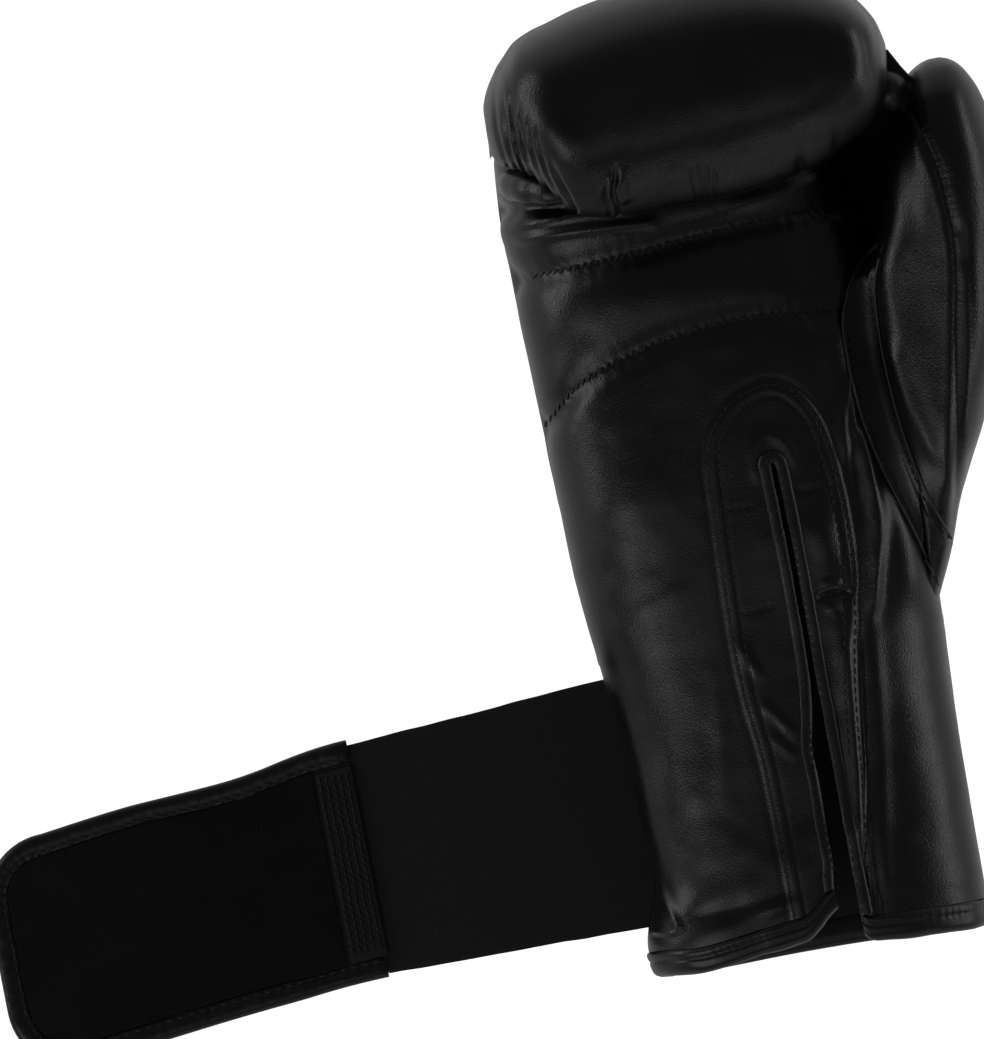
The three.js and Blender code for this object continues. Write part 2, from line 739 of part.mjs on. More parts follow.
// Rounded binding round the slit, swept along its edge over the patch
function pipingPath() {
  const points = [];
  const low = HEM_EDGE + HEM_WIDTH + GAP;
  const high = SLIT.topY - 3;
  const legs = spread(low, high, 13);
  const lift = (x, y) => {
    const row = sampleRow(HAND_SECTIONS, "y", y);
    const middle = (row.left + row.right) / 2;
    const u = Math.abs(x - middle) / ((row.right - row.left) / 2);
    return row.side + (row.top - row.side) * (1 - u ** UPPER_POWER) ** (1 / UPPER_POWER) + palmRelief(x, y);
  };
  const put = (x, y) => points.push(new THREE.Vector3(x, y, lift(x, y) + PIPING.lift));
  legs.forEach((y) => put(slitLeft(y) - PIPING.radius, y));
  const centre = SLIT.topX;
  const radius = SLIT.topGap / 2 + PIPING.radius;
  for (let i = 1; i < 6; i += 1) {
    const angle = Math.PI * (1 - i / 6);
    put(centre + radius * Math.cos(angle), high + radius * Math.sin(angle));
  }
  [...legs].reverse().forEach((y) => put(slitRight(y) + PIPING.radius, y));
  return points;
}

// Round piping through a row of points
function sweptPiping(points) {
  const rings = points.map((p, i) => {
    const before = points[Math.max(i - 1, 0)];
    const after = points[Math.min(i + 1, points.length - 1)];
    const side = new THREE.Vector3(after.y - before.y, before.x - after.x, 0).normalize();
    return Array.from({ length: PIPING.points }, (_, j) => {
      const angle = (2 * Math.PI * j) / PIPING.points;
      const reach = PIPING.radius * Math.cos(angle);
      return new THREE.Vector3(p.x + side.x * reach, p.y + side.y * reach, p.z + PIPING.radius * Math.sin(angle));
    });
  });
  return solid(loft(rings));
}

const slitBinding = sweptPiping(pipingPath());

// Elastic strap, its sewn end held under the cuff
const strapBlank = prism(STRAP.outline, 0, STRAP.thick);
const elastic = strapBlank.subtract(handGrown);

// Outline of the tab, drawn in by a margin on its bound edges and run on past its sewn end
function tabOutline(margin, past) {
  const start = TAB.start + past;
  const cornerX = TAB.end + TAB.corner;
  const upperStart = THREE.MathUtils.mapLinear(start, TAB.start, cornerX, TAB.upperStart, TAB.upperEnd) - margin;
  const lowerStart = THREE.MathUtils.mapLinear(start, TAB.start, cornerX, TAB.lowerStart, TAB.lowerEnd) + margin;
  const upperEnd = TAB.upperEnd - margin;
  const lowerEnd = TAB.lowerEnd + margin;
  const end = TAB.end + margin;
  const corner = TAB.corner - margin;
  const outline = [far(start, lowerStart), far(start, upperStart)];
  for (let i = 0; i <= 8; i += 1) {
    const angle = (Math.PI / 2) * (i / 8);
    outline.push(far(end + corner * (1 - Math.sin(angle)), upperEnd - corner * (1 - Math.cos(angle))));
  }
  for (let i = 8; i >= 0; i -= 1) {
    const angle = (Math.PI / 2) * (i / 8);
    outline.push(far(end + corner * (1 - Math.sin(angle)), lowerEnd + corner * (1 - Math.cos(angle))));
  }
  return outline;
}

const tabBase = prism(tabOutline(TAB.bindingWall, 0), 0, TAB.base);
const tabBinding = prism(tabOutline(0, 0), 0, TAB.bindingHeight)
  .subtract(prism(tabOutline(TAB.binding, TAB.past), -1, ABOVE_ALL))
  .subtract(prism(tabOutline(TAB.bindingWall - GAP, TAB.past), -1, TAB.base + GAP));
const fieldOutline = tabOutline(TAB.binding + GAP, 0);
const joinEdge = TAB.start - TAB.join;
const fieldBlank = prism(fieldOutline, TAB.base + GAP, TAB.base + GAP + TAB.hook);
const beforeJoin = block(-FAR * 2, joinEdge - GAP, -FAR * 2, FAR, BELOW_ALL, ABOVE_ALL);
const afterJoin = block(joinEdge, FAR, -FAR * 2, FAR, BELOW_ALL, ABOVE_ALL);
const hookField = fieldBlank.intersect(beforeJoin);
const joinBand = fieldBlank.intersect(afterJoin);

// Keeper that ties the thumb tip to the fist, and the web under it
const keeper = prism(KEEPER.outline, KEEPER.low, KEEPER.high).subtract(fistGrown).subtract(thumbGrown);
const web = prism(WEB.outline, WEB.low, WEB.high).subtract(fistGrown).subtract(thumbGrown).subtract(handGrown);

const LEATHER = { color: 0x17171a, roughness: 0.34, metalness: 0 };
const BINDING = { color: 0x1c1c1f, roughness: 0.28, metalness: 0 };
const FABRIC = { color: 0x1b1b1c, roughness: 0.85, metalness: 0 };
const HOOK = { color: 0x101013, roughness: 0.75, metalness: 0 };

const PARTS = [
  { name: "fist_pad", body: fistPad, finish: LEATHER },
  { name: "hand_back", body: handBack, finish: LEATHER },
  { name: "side_bolster", body: bolster, finish: LEATHER },
  { name: "palm_grip", body: grip, finish: LEATHER },
  { name: "palm_upper", body: palmUpper, finish: LEATHER },
  { name: "palm_lower", body: palmLower, finish: LEATHER },
  { name: "cuff_back", body: cuffBack, finish: LEATHER },
  { name: "wrist_patch", body: patch, finish: LEATHER },
  { name: "slit_binding", body: slitBinding, finish: BINDING },
  { name: "hem_binding", body: hem, finish: BINDING },
  { name: "thumb_gusset", body: gusset, finish: LEATHER },
  { name: "thumb_panel", body: thumbPanel, finish: LEATHER },
  { name: "thumb_pad", body: thumbPad, finish: LEATHER },
  { name: "thumb_keeper", body: keeper, finish: BINDING },
  { name: "thumb_web", body: web, finish: LEATHER },
  { name: "strap_elastic", body: elastic, finish: FABRIC },
  { name: "strap_tab", body: tabBase, finish: LEATHER },
  { name: "tab_binding", body: tabBinding, finish: BINDING },
  { name: "hook_field", body: hookField, finish: HOOK },
  { name: "strap_join", body: joinBand, finish: FABRIC },
];

// Mesh from a solid
function meshOf({ name, body, finish }) {
  const data = body.getMesh();
  const geometry = new THREE.BufferGeometry();
  const count = data.numProp;
  const positions = new Float32Array(data.numVert * 3);
  for (let i = 0; i < data.numVert; i += 1) {
    positions.set(data.vertProperties.subarray(i * count, i * count + 3), i * 3);
  }
  geometry.setAttribute("position", new THREE.BufferAttribute(positions, 3));
  geometry.setIndex(new THREE.BufferAttribute(new Uint32Array(data.triVerts), 1));
  geometry.computeVertexNormals();
  const mesh = new THREE.Mesh(geometry, new THREE.MeshStandardMaterial(finish));
  mesh.name = name;
  return mesh;
}

const glove = new THREE.Group();
glove.name = "kickboxing_glove";
PARTS.forEach((part) => glove.add(meshOf(part)));

export default glove;
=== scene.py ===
"""Black padded glove for the right hand, lying palm up with its wrist strap open and laid flat.

Sizes are in millimetres in the frame's axes: +Z up, +Y to the fist, +X to the thumb. They become metres
where a mesh is made.
"""

import logging
import math
from dataclasses import dataclass, field
from enum import Enum
from typing import Sequence

import bpy
import numpy as np
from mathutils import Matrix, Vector
from mathutils.bvhtree import BVHTree


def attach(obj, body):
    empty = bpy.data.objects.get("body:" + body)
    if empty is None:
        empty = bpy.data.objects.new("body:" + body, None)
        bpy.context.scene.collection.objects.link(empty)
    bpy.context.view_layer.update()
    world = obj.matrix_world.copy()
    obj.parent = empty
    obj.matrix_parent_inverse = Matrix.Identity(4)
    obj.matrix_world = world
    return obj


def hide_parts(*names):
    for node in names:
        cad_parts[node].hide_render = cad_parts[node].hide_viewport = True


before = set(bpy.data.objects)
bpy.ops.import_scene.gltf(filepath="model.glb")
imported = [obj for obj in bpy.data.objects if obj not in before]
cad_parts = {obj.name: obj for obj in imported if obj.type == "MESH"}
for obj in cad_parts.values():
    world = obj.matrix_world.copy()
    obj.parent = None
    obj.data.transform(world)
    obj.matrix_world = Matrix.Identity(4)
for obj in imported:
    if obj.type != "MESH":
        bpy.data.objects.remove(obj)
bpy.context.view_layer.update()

LOG = logging.getLogger("glove")
METRE = 0.001
Array = np.ndarray
Patch = tuple[Array, Array]
Material = bpy.types.Material
Socket = bpy.types.NodeSocket

PHOTO_HEIGHT = 1039
MM_PER_PIXEL = 0.30
GLOVE_LEAN_DEG = 11.0
VIEW_CENTRE = (-75.5, -6.5)

HEM_EDGE = -155.0
HEM_WIDTH = 8.2
SPLIT_HEIGHT = 38.0
UPPER_POWER = 2.7
LOWER_POWER = 3.2
CUFF_SEAM = -58.0
BAND_TOP = HEM_EDGE + HEM_WIDTH
HOLLOW_END = 100.0
PALM_TURN = (0.0, math.pi)
BACK_TURN = (math.pi, 2 * math.pi)
STITCH_SIDES = 6
STITCH_POINTS = 5
LOOK_ALONG = 0.6
GUSSET_FOOT = -60.0
GUSSET_TOP = 53.5
PATCH_TOP = 20.0
BOLSTER_CORNER = (-40.0, 83.0)
SLIT_CLEARANCE = 2.0


class Slot(Enum):
    """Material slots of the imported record."""

    LEATHER = "leather"
    BINDING = "binding"
    ELASTIC = "elastic"
    HOOK = "hook"


class Panel(Enum):
    """Leather panels that the hand's upper skin is divided into."""

    GRIP = "palm_grip"
    BOLSTER = "side_bolster"
    UPPER = "palm_upper"
    LOWER = "palm_lower"
    PATCH = "wrist_patch"


def ease(t: Array) -> Array:
    """Smooth step from 0 to 1."""
    u = np.clip(t, 0.0, 1.0)
    return u * u * (3.0 - 2.0 * u)


def bump(distance: Array, reach: float) -> Array:
    """Bell that is 1 on a line and fades out past its reach."""
    return np.exp(-((distance / reach) ** 2))


def run_along(points: Array) -> Array:
    """Distance along a row of points, at each of them."""
    return np.concatenate([[0.0], np.cumsum(np.linalg.norm(np.diff(points, axis=0), axis=1))])


def points_at(at: Array, run: Array, points: Array) -> Array:
    """Points of a curve at given distances along it."""
    return np.column_stack([np.interp(at, run, column) for column in points.T])


def unit(rows: Array) -> Array:
    """Directions scaled to length one."""
    return rows / np.maximum(np.linalg.norm(rows, axis=-1, keepdims=True), 1e-9)


def upward(count: int) -> Array:
    """The upward direction, once for each of a number of points."""
    return np.tile([0.0, 0.0, 1.0], (count, 1))


def smoothed(values: Array, width: int) -> Array:
    """Running mean of a row of values over an odd number of them."""
    return np.convolve(np.pad(values, width // 2, mode="edge"), np.ones(width) / width, mode="valid")


class Table:
    """Columns of numbers given row by row, read along a smooth curve through the rows."""

    def __init__(self, names: str, rows: Sequence[Sequence[float]]) -> None:
        """Keeps the rows.

        Args:
            names: column names, the first being the one that is looked up.
            rows: one row of numbers for each section.
        """
        self.names = names.split()
        self.data = np.array(rows, dtype=float)

    def __call__(self, at: Array) -> dict[str, Array]:
        """Reads every column.

        Args:
            at: places along the first column.

        Returns:
            The value of each column at each place.
        """
        key = self.data[:, 0]
        at = np.clip(np.asarray(at, dtype=float), key[0], key[-1])
        i = np.clip(np.searchsorted(key, at, side="right") - 1, 0, len(key) - 2)
        span = key[i + 1] - key[i]
        t = (at - key[i]) / span
        out = {self.names[0]: at}
        for column, name in enumerate(self.names[1:], 1):
            v = self.data[:, column]
            slope = np.empty_like(v)
            slope[1:-1] = (v[2:] - v[:-2]) / (key[2:] - key[:-2])
            slope[0] = (v[1] - v[0]) / (key[1] - key[0])
            slope[-1] = (v[-1] - v[-2]) / (key[-1] - key[-2])
            start = v[i] * (2 * t**3 - 3 * t**2 + 1) + slope[i] * span * (t**3 - 2 * t**2 + t)
            finish = v[i + 1] * (3 * t**2 - 2 * t**3) + slope[i + 1] * span * (t**3 - t**2)
            out[name] = start + finish
        return out


class Line:
    """Smooth line on the palm, through a few points given as seen from above."""

    def __init__(self, points: Sequence[tuple[float, float]], step: float = 1.5) -> None:
        """Runs a curve through the points.

        Args:
            points: X and Y of each point.
            step: distance between the curve's own points.
        """
        corner = np.array(points, dtype=float)
        chord = run_along(corner)
        curve = Table("s x y", np.column_stack([chord, corner]))
        read = curve(np.linspace(0.0, chord[-1], max(2, int(chord[-1] / step) + 1)))
        self.points = np.column_stack([read["x"], read["y"]])
        self.along = run_along(self.points)
        self.length = float(self.along[-1])

    def x_at(self, y: Array) -> Array:
        """X of the line at each Y."""
        return np.interp(y, self.points[:, 1], self.points[:, 0])

    def y_at(self, x: Array) -> Array:
        """Y of the line at each X."""
        return np.interp(x, self.points[:, 0], self.points[:, 1])

    def measure(self, x: Array, y: Array, reach: float) -> tuple[Array, Array, Array]:
        """Measures places against the line.

        Args:
            x: X of each place.
            y: Y of each place.
            reach: places farther off than this are left out.

        Returns:
            The indices of the near places, their distance with a sign (left of the line is positive),
            and how far along the line they are.
        """
        low, high = self.points.min(axis=0) - reach, self.points.max(axis=0) + reach
        flat_x, flat_y = x.ravel(), y.ravel()
        near = np.flatnonzero((flat_x > low[0]) & (flat_x < high[0]) & (flat_y > low[1]) & (flat_y < high[1]))
        best = np.full(len(near), 1e9)
        side = np.zeros(len(near))
        along = np.zeros(len(near))
        px, py = flat_x[near], flat_y[near]
        for i in range(len(self.points) - 1):
            a, b = self.points[i], self.points[i + 1]
            run = b - a
            t = np.clip(((px - a[0]) * run[0] + (py - a[1]) * run[1]) / (run @ run), 0.0, 1.0)
            dx, dy = px - a[0] - t * run[0], py - a[1] - t * run[1]
            d = np.hypot(dx, dy)
            closer = d < best
            best[closer] = d[closer]
            side[closer] = np.sign(run[0] * dy - run[1] * dx)[closer]
            along[closer] = (self.along[i] + t * (self.along[i + 1] - self.along[i]))[closer]
        inside = best < reach
        return near[inside], (best * side)[inside], along[inside]

    def place(self, s: Array, aside: float = 0.0) -> tuple[Array, Array]:
        """Finds points along the line.

        Args:
            s: distances along the line.
            aside: distance to the left of it.

        Returns:
            The points, and the direction of the line at each.
        """
        steps = (-LOOK_ALONG, 0.0, LOOK_ALONG)
        before, xy, after = (points_at(s + step, self.along, self.points) for step in steps)
        way = unit(after - before)
        return xy + aside * np.column_stack([-way[:, 1], way[:, 0]]), way


def lumps(x: Array, y: Array, size: float, seed: int) -> Array:
    """Soft unevenness between -1 and 1.

    Args:
        x: first coordinate of each place.
        y: second coordinate of each place.
        size: width of a lump.
        seed: picks the pattern.

    Returns:
        The height at each place.
    """
    lattice = np.random.RandomState(seed).uniform(-1.0, 1.0, (64, 64))
    u, v = x / size + 31.3, y / size + 17.7
    i, j = np.floor(u).astype(int), np.floor(v).astype(int)
    fu, fv = ease(u - i), ease(v - j)
    i, j, k, m = i % 64, j % 64, (i + 1) % 64, (j + 1) % 64
    low = lattice[i, j] * (1 - fu) + lattice[k, j] * fu
    high = lattice[i, m] * (1 - fu) + lattice[k, m] * fu
    return low * (1 - fv) + high * fv


def lumps_along(s: Array, size: float, seed: int, aside: float = 0.0) -> Array:
    """Soft unevenness along a row of distances."""
    return lumps(s, s * 0 + aside, size, seed)


@dataclass(frozen=True)
class Seam:
    """Sewn line: the leather is pressed in along it and puckers beside it."""

    line: Line
    depth: float = 1.5
    reach: float = 3.5
    crease: float = 0.4
    pucker: float = 0.0
    pitch: float = 2.9
    band: float = 1.8
    gather: float = 0.0
    gather_reach: float = 7.0
    gather_pitch: float = 5.0

    def height(self, x: Array, y: Array) -> Array:
        """Height that the seam adds at each place.

        Args:
            x: X of each place.
            y: Y of each place.

        Returns:
            The heights, in the shape of x.
        """
        out = np.zeros(x.size)
        near, d, s = self.line.measure(x, y, max(3 * self.reach, 2.5 * self.gather_reach))
        h = -self.depth * bump(d, self.reach) - self.crease * bump(d, 0.55)
        if self.pucker:
            wave = np.sin(2 * math.pi * (s / self.pitch + 0.22 * d))
            h += self.pucker * wave * bump(np.abs(d) - 0.2 * self.band, self.band * 0.75)
        if self.gather:
            wobble = lumps(s, d * 0.3, 6.0, 5)
            wave = np.sin(2 * math.pi * s / self.gather_pitch + 2.4 * wobble)
            h += self.gather * wave * (0.6 + 0.4 * wobble) * bump(np.abs(d) - 1.2, self.gather_reach)
        out[near] = h
        return out.reshape(x.shape)


@dataclass(frozen=True)
class Fold:
    """Soft ridge or crease of the leather along a line; a crease has a negative height."""

    line: Line
    height: float
    width: float
    fade: float = 10.0
    last_fade: float | None = None

    def relief(self, x: Array, y: Array) -> Array:
        """Height that the fold adds at each place.

        Args:
            x: X of each place.
            y: Y of each place.

        Returns:
            The heights, in the shape of x.
        """
        out = np.zeros(x.size)
        near, d, s = self.line.measure(x, y, 3.2 * self.width)
        last = self.fade if self.last_fade is None else self.last_fade
        ends = ease(s / self.fade) * ease((self.line.length - s) / last)
        out[near] = self.height * bump(d, self.width) * ends
        return out.reshape(x.shape)


def fold(
    height: float, width: float, *points: tuple[float, float], fade: float = 10.0, last: float | None = None
) -> Fold:
    """Short way to write a fold from its points."""
    return Fold(Line(points), height, width, fade, last)


HAND = Table(
    "y left right floor side top",
    [
        (-155, -53, 48.5, 2.5, 27, 57),
        (-146, -54, 48.8, 0, 27, 59),
        (-136, -52, 49, -1.2, 28, 60),
        (-125, -48.5, 49, -1.5, 29, 61),
        (-105, -49, 49.6, -1.5, 30, 62),
        (-85, -49.5, 50.5, -1.5, 31, 64),
        (-58, -52, 52, -1.5, 33, 67),
        (-30, -54.5, 53, -1.5, 36, 71),
        (0, -55, 53, -1.5, 38, 74),
        (30, -55.6, 53, -1.5, 39, 76),
        (60, -56, 51, -1.5, 40, 77),
        (85, -55.6, 49, -1.5, 40, 77),
        (112, -53, 46, -1, 40, 74),
    ],
)
HOLLOW = Table(
    "y left right floor side top",
    [
        (-160, -48.5, 44.5, 11, 30, 53),
        (-120, -44.5, 45, 12, 32, 56.5),
        (-80, -45, 46, 15, 34, 59.5),
        (-40, -47, 46, 22, 40, 65),
        (0, -47, 45, 27, 44, 69),
        (40, -47, 44, 30, 48, 71),
        (75, -46, 41, 32, 50, 70),
        (100, -42, 38, 36, 52, 70),
    ],
)
FIST = Table(
    "x near far floor top",
    [
        (-55.2, 97, 109, 34, 64),
        (-54.2, 95.4, 116, 24, 79),
        (-49, 93.4, 125, 9, 95),
        (-45.5, 91.6, 129, 6, 99.4),
        (-42, 88, 132.5, 3, 102.5),
        (-37, 83.2, 135, 0, 105.5),
        (-32, 80, 136.5, -1, 107),
        (-20, 77, 139.5, -1, 108),
        (0, 76.5, 142, -1, 108),
        (22, 78, 142, -1, 108),
        (40, 81, 138, -1, 107.8),
        (52, 87, 132.5, 2, 106.6),
        (60, 93, 126.5, 8, 102.6),
        (65, 99.5, 119, 20, 92),
        (67, 105, 112.5, 36, 68),
    ],
)
THUMB = Table(
    "y left right floor side top",
    [
        (-57, 46, 51, 22, 34, 46),
        (-41, 48, 58.6, 15, 36, 60),
        (-27, 48, 63.5, 11, 38, 68),
        (-6, 47, 75, 8, 42, 76),
        (20, 46.5, 87, 7, 44, 81),
        (43, 48, 93, 9, 46, 86),
        (60, 55, 95.5, 12, 50, 88),
        (80, 61.5, 94.5, 18, 54, 88),
        (92, 66.4, 92.2, 26, 56, 84),
        (97.5, 69.8, 90, 32, 57, 80),
        (101, 73.2, 87.6, 38, 58, 75.5),
        (103, 76.4, 85, 46, 58.5, 70),
        (103.9, 79, 82.6, 53, 58.5, 64),
    ],
)

GRIP_LINE = Line([(-70, 62.4), (-29, 63), (2, 65), (33, 66), (56, 65.6)])
PALM_LINE = Line([(-70, 8), (-55, 18), (-42, 28), (-22, 35), (-3, 38), (15, 38), (41, 34)])
GUSSET_PALM = Line(
    [(55, -62), (49, -39), (45, -24), (41, -10), (38.4, 8), (38.2, 24), (39.6, 34), (46, 46.5), (56, 53.5)]
)
GUSSET_THUMB = Line(
    [(62, -62), (59, -41), (54, -24), (50.6, -5), (49.2, 13), (49.4, 30), (51, 42), (56, 53.5)],
)
GATHER_LINE = Line(
    [
        *[(61, -50), (61, -41), (62.8, -28), (67, -4), (71, 19)],
        *[(75.6, 43), (76, 56), (75, 70), (72.5, 82), (70, 92)],
    ]
)
BOLSTER_LINE = Line([(-70, 84.5), (-50, 83.5), (-43, 82), (-38, 81)])
PATCH_LINE = Line(
    [
        *[(-10.2, -160), (-10.2, -141), (-10.1, -122), (-10.3, -106), (-10.6, -92), (-12.2, -76)],
        *[(-12.8, -62), (-12.3, -44), (-11, -19), (-9, 3), (-2, 13), (6, 17.4), (14, 18.4)],
        *[(21, 14.5), (26.5, 6), (29, -6), (30, -25), (28.6, -46), (23, -76), (20, -101)],
        *[(18, -118), (16, -160)],
    ],
    1.2,
)


@dataclass(frozen=True)
class Slit:
    """Opening in the cuff with bound edges, narrow at its top and slack towards the hem."""

    top_y: float = -3.5
    top_x: float = 10.0
    top_gap: float = 1.0
    half_width: float = 1.95
    half_height: float = 0.95
    sides: Table = Table(
        "y left right",
        [
            (-155, 4.4, 10.2),
            (-145, 4.6, 10.2),
            (-138, 5.0, 10.2),
            (-130, 5.6, 10.1),
            (-114, 5.8, 10.3),
            (-103, 6.1, 10.4),
            (-92, 6.0, 10.4),
            (-82, 7.8, 10.5),
            (-72, 9.0, 10.4),
            (-53, 9.6, 10.8),
            (-25, 9.8, 11.0),
            (-3, 9.4, 10.6),
        ],
    )

    def edges(self, y: Array) -> tuple[Array, Array]:
        """X of the left and right edge at each Y."""
        row = self.sides(y)
        return row["left"], row["right"]


SLIT = Slit()

LEFT_MOUTH = Table(
    "x lift",
    [(-54, 4.7), (-40, 2.8), (-32, 3.2), (-20, 4.8), (-10, 6), (-6, 6.6), (-2, 9.3), (1, 12.1), (6, 15.4)],
)
RIGHT_MOUTH = Table(
    "x lift",
    [(9, 9), (10.6, 4.5), (12.5, 2.7), (16.3, 2.1), (27.5, 1.2), (38.8, 0.8), (49, 0.4)],
)
BACK_MOUTH = Table(
    "x lift",
    [(-54, 4.2), (-40, 2.8), (-30, 2.8), (-12, 2.9), (0, 2.7), (10, 2.4), (21, 1.8), (39, 0.7)],
)


def mouth_lift(points: Array) -> Array:
    """Draws the mouth of the cuff back by a different amount at each place, as soft leather hangs.

    Args:
        points: points of a surface.

    Returns:
        The points, moved along Y near the mouth.
    """
    x, y, z = points[..., 0], points[..., 1], points[..., 2]
    front = np.where(x < 8.0, LEFT_MOUTH(x)["lift"], RIGHT_MOUTH(x)["lift"])
    share = ease((z - 34) / 14)
    lift = front * share + BACK_MOUTH(x)["lift"] * (1 - share)
    moved = points.copy()
    moved[..., 1] = y + lift * ease((-y - 118) / 36)
    return moved


@dataclass(frozen=True)
class Leather:
    """Fine-grained glossy leather."""

    name: str
    base: float
    roughness: float
    grain: float
    grain_size: float = 0.42
    crumple: float = 0.12
    coat: float = 0.12

    def make(self) -> Material:
        """Builds the material.

        Returns:
            A material with pebbled grain, soft crumples and uneven sheen.
        """
        looks = {"Specular IOR Level": 0.5, "Coat Weight": self.coat, "Coat Roughness": 0.16}
        nodes = NodeBoard(self.name, looks)
        cells = nodes.texture("ShaderNodeTexVoronoi", self.grain_size, Randomness=1.0)
        cells.feature = "SMOOTH_F1"
        wrinkle = nodes.texture("ShaderNodeTexNoise", 5.0, Detail=4.0, Roughness=0.5)
        broad = nodes.texture("ShaderNodeTexNoise", 26.0, Detail=3.0, Roughness=0.5).outputs["Fac"]
        fine = nodes.bump(cells.outputs["Distance"], self.grain, 0.10)
        nodes.shade("Coat Normal", fine)
        nodes.shade("Normal", nodes.bump(wrinkle.outputs["Fac"], self.crumple, 0.5, fine))
        nodes.shade("Base Color", nodes.ramp(broad, (0.35, self.base * 0.8), (0.7, self.base * 1.25)))
        sheen = nodes.ramp(broad, (0.3, self.roughness - 0.04), (0.75, self.roughness + 0.05))
        nodes.shade("Roughness", sheen)
        return nodes.material


@dataclass(frozen=True)
class Woven:
    """Matt woven cloth with ribs along the strap."""

    name: str
    base: float
    roughness: float = 0.85
    rib: float = 1.1
    strength: float = 0.5

    def make(self) -> Material:
        """Builds the material.

        Returns:
            A material with crossing ribs and a soft sheen.
        """
        looks = {"Roughness": self.roughness, "Specular IOR Level": 0.25, "Sheen Weight": 0.15}
        nodes = NodeBoard(self.name, looks)
        along = nodes.texture("ShaderNodeTexWave", self.rib * 6.0, Distortion=0.4)
        along.bands_direction = "Y"
        across = nodes.texture("ShaderNodeTexWave", self.rib * 4.0, Distortion=0.6)
        across.bands_direction = "X"
        fuzz = nodes.texture("ShaderNodeTexNoise", 0.5, Detail=3.0).outputs["Fac"]
        first = nodes.bump(along.outputs["Fac"], self.strength, 0.25)
        second = nodes.bump(across.outputs["Fac"], self.strength * 0.5, 0.2, first)
        nodes.shade("Normal", nodes.bump(fuzz, self.strength, 0.2, second))
        nodes.shade("Base Color", nodes.ramp(fuzz, (0.3, self.base * 0.75), (0.7, self.base * 1.3)))
        return nodes.material


@dataclass(frozen=True)
class Hooks:
    """Dense field of tiny plastic hooks, dark with a blue cast."""

    name: str
    base: float = 0.0045
    size: float = 0.8

    def make(self) -> Material:
        """Builds the material.

        Returns:
            A material with close round tips and dull patches.
        """
        nodes = NodeBoard(self.name, {"Roughness": 0.75, "Specular IOR Level": 0.2})
        tips = nodes.texture("ShaderNodeTexVoronoi", self.size, Randomness=0.6)
        patchy = nodes.texture("ShaderNodeTexNoise", 14.0, Detail=5.0, Roughness=0.6)
        nodes.shade("Normal", nodes.bump(tips.outputs["Distance"], 0.5, 0.4))
        ends = (0.3, self.base * 0.7), (0.75, self.base * 1.5)
        nodes.shade("Base Color", nodes.ramp(patchy.outputs["Fac"], *ends, 1.3))
        return nodes.material


class NodeBoard:
    """Short way to lay out a material's nodes."""

    def __init__(self, name: str, looks: dict[str, float | tuple[float, ...]]) -> None:
        """Starts a material.

        Args:
            name: its name.
            looks: values of the surface shader's sockets.
        """
        self.material = bpy.data.materials.new(name)
        self.material.use_nodes = True
        self.tree = self.material.node_tree
        self.shader = self.tree.nodes["Principled BSDF"]
        for socket, value in looks.items():
            self.shader.inputs[socket].default_value = value

    def texture(self, kind: str, size: float, **values: float) -> bpy.types.Node:
        """Adds a texture that lies on the object.

        Args:
            kind: Blender's name of the node type.
            size: width of its pattern in millimetres.
            values: other socket values by name.

        Returns:
            The new node.
        """
        node = self.tree.nodes.new(kind)
        for name, value in dict(values, Scale=1.0 / (size * METRE)).items():
            node.inputs[name].default_value = value
        place = self.tree.nodes.new("ShaderNodeTexCoord").outputs["Object"]
        self.tree.links.new(place, node.inputs["Vector"])
        return node

    def shade(self, socket: str, value: Socket) -> None:
        """Joins a value to the surface shader."""
        self.tree.links.new(value, self.shader.inputs[socket])

    def bump(self, height: Socket, strength: float, depth: float, below: Socket | None = None) -> Socket:
        """Adds a bump.

        Args:
            height: socket with the height.
            strength: how strong it is.
            depth: its depth in millimetres.
            below: bump that this one lies on.

        Returns:
            The socket with the bumped normal.
        """
        node = self.tree.nodes.new("ShaderNodeBump")
        node.inputs["Strength"].default_value = strength
        node.inputs["Distance"].default_value = depth * METRE
        self.tree.links.new(height, node.inputs["Height"])
        if below is not None:
            self.tree.links.new(below, node.inputs["Normal"])
        return node.outputs["Normal"]

    def ramp(
        self, value: Socket, low: tuple[float, float], high: tuple[float, float], blue: float = 1.03
    ) -> Socket:
        """Turns a value into a grey between two ends.

        Args:
            value: socket with the value.
            low: place and grey of the lower end.
            high: place and grey of the upper end.
            blue: how much stronger the blue is.

        Returns:
            The socket with the grey.
        """
        node = self.tree.nodes.new("ShaderNodeValToRGB")
        for stop, (place, grey) in zip(node.color_ramp.elements, (low, high)):
            stop.position = place
            stop.color = (grey, grey, grey * blue, 1.0)
        self.tree.links.new(value, node.inputs["Fac"])
        return node.outputs["Color"]


@dataclass
class Finishes:
    """Every finish of the glove, made once."""

    made: dict[str, Material] = field(default_factory=dict)

    def build(self) -> None:
        """Makes the materials."""
        looks = [
            Leather("black_leather", base=0.0045, roughness=0.29, grain=0.75, crumple=0.05),
            Leather("binding_leather", base=0.004, roughness=0.36, grain=0.15, crumple=0.2),
            Leather("thread", base=0.006, roughness=0.5, grain=0.2, coat=0.0),
            # Lighter grey leather: painted light. It makes the seam beads read as highlighted lines, and the
            # keeper pad in the shaded gap read as lit.
            Leather("painted_light_leather", base=0.03, roughness=0.42, grain=0.1, crumple=0.0),
            Woven("elastic_webbing", base=0.017, strength=0.16),
            Hooks("hook_tape"),
            # Lining grey set lighter than the leather as painted light, so the shaded insides it covers read
            # as dimly lit rather than black.
            Woven("lining", base=0.022, roughness=0.95, rib=0.5, strength=0.1),
        ]
        for look in looks:
            self.made[look.name] = look.make()

    def __getitem__(self, name: str) -> Material:
        """Finish by name."""
        return self.made[name]


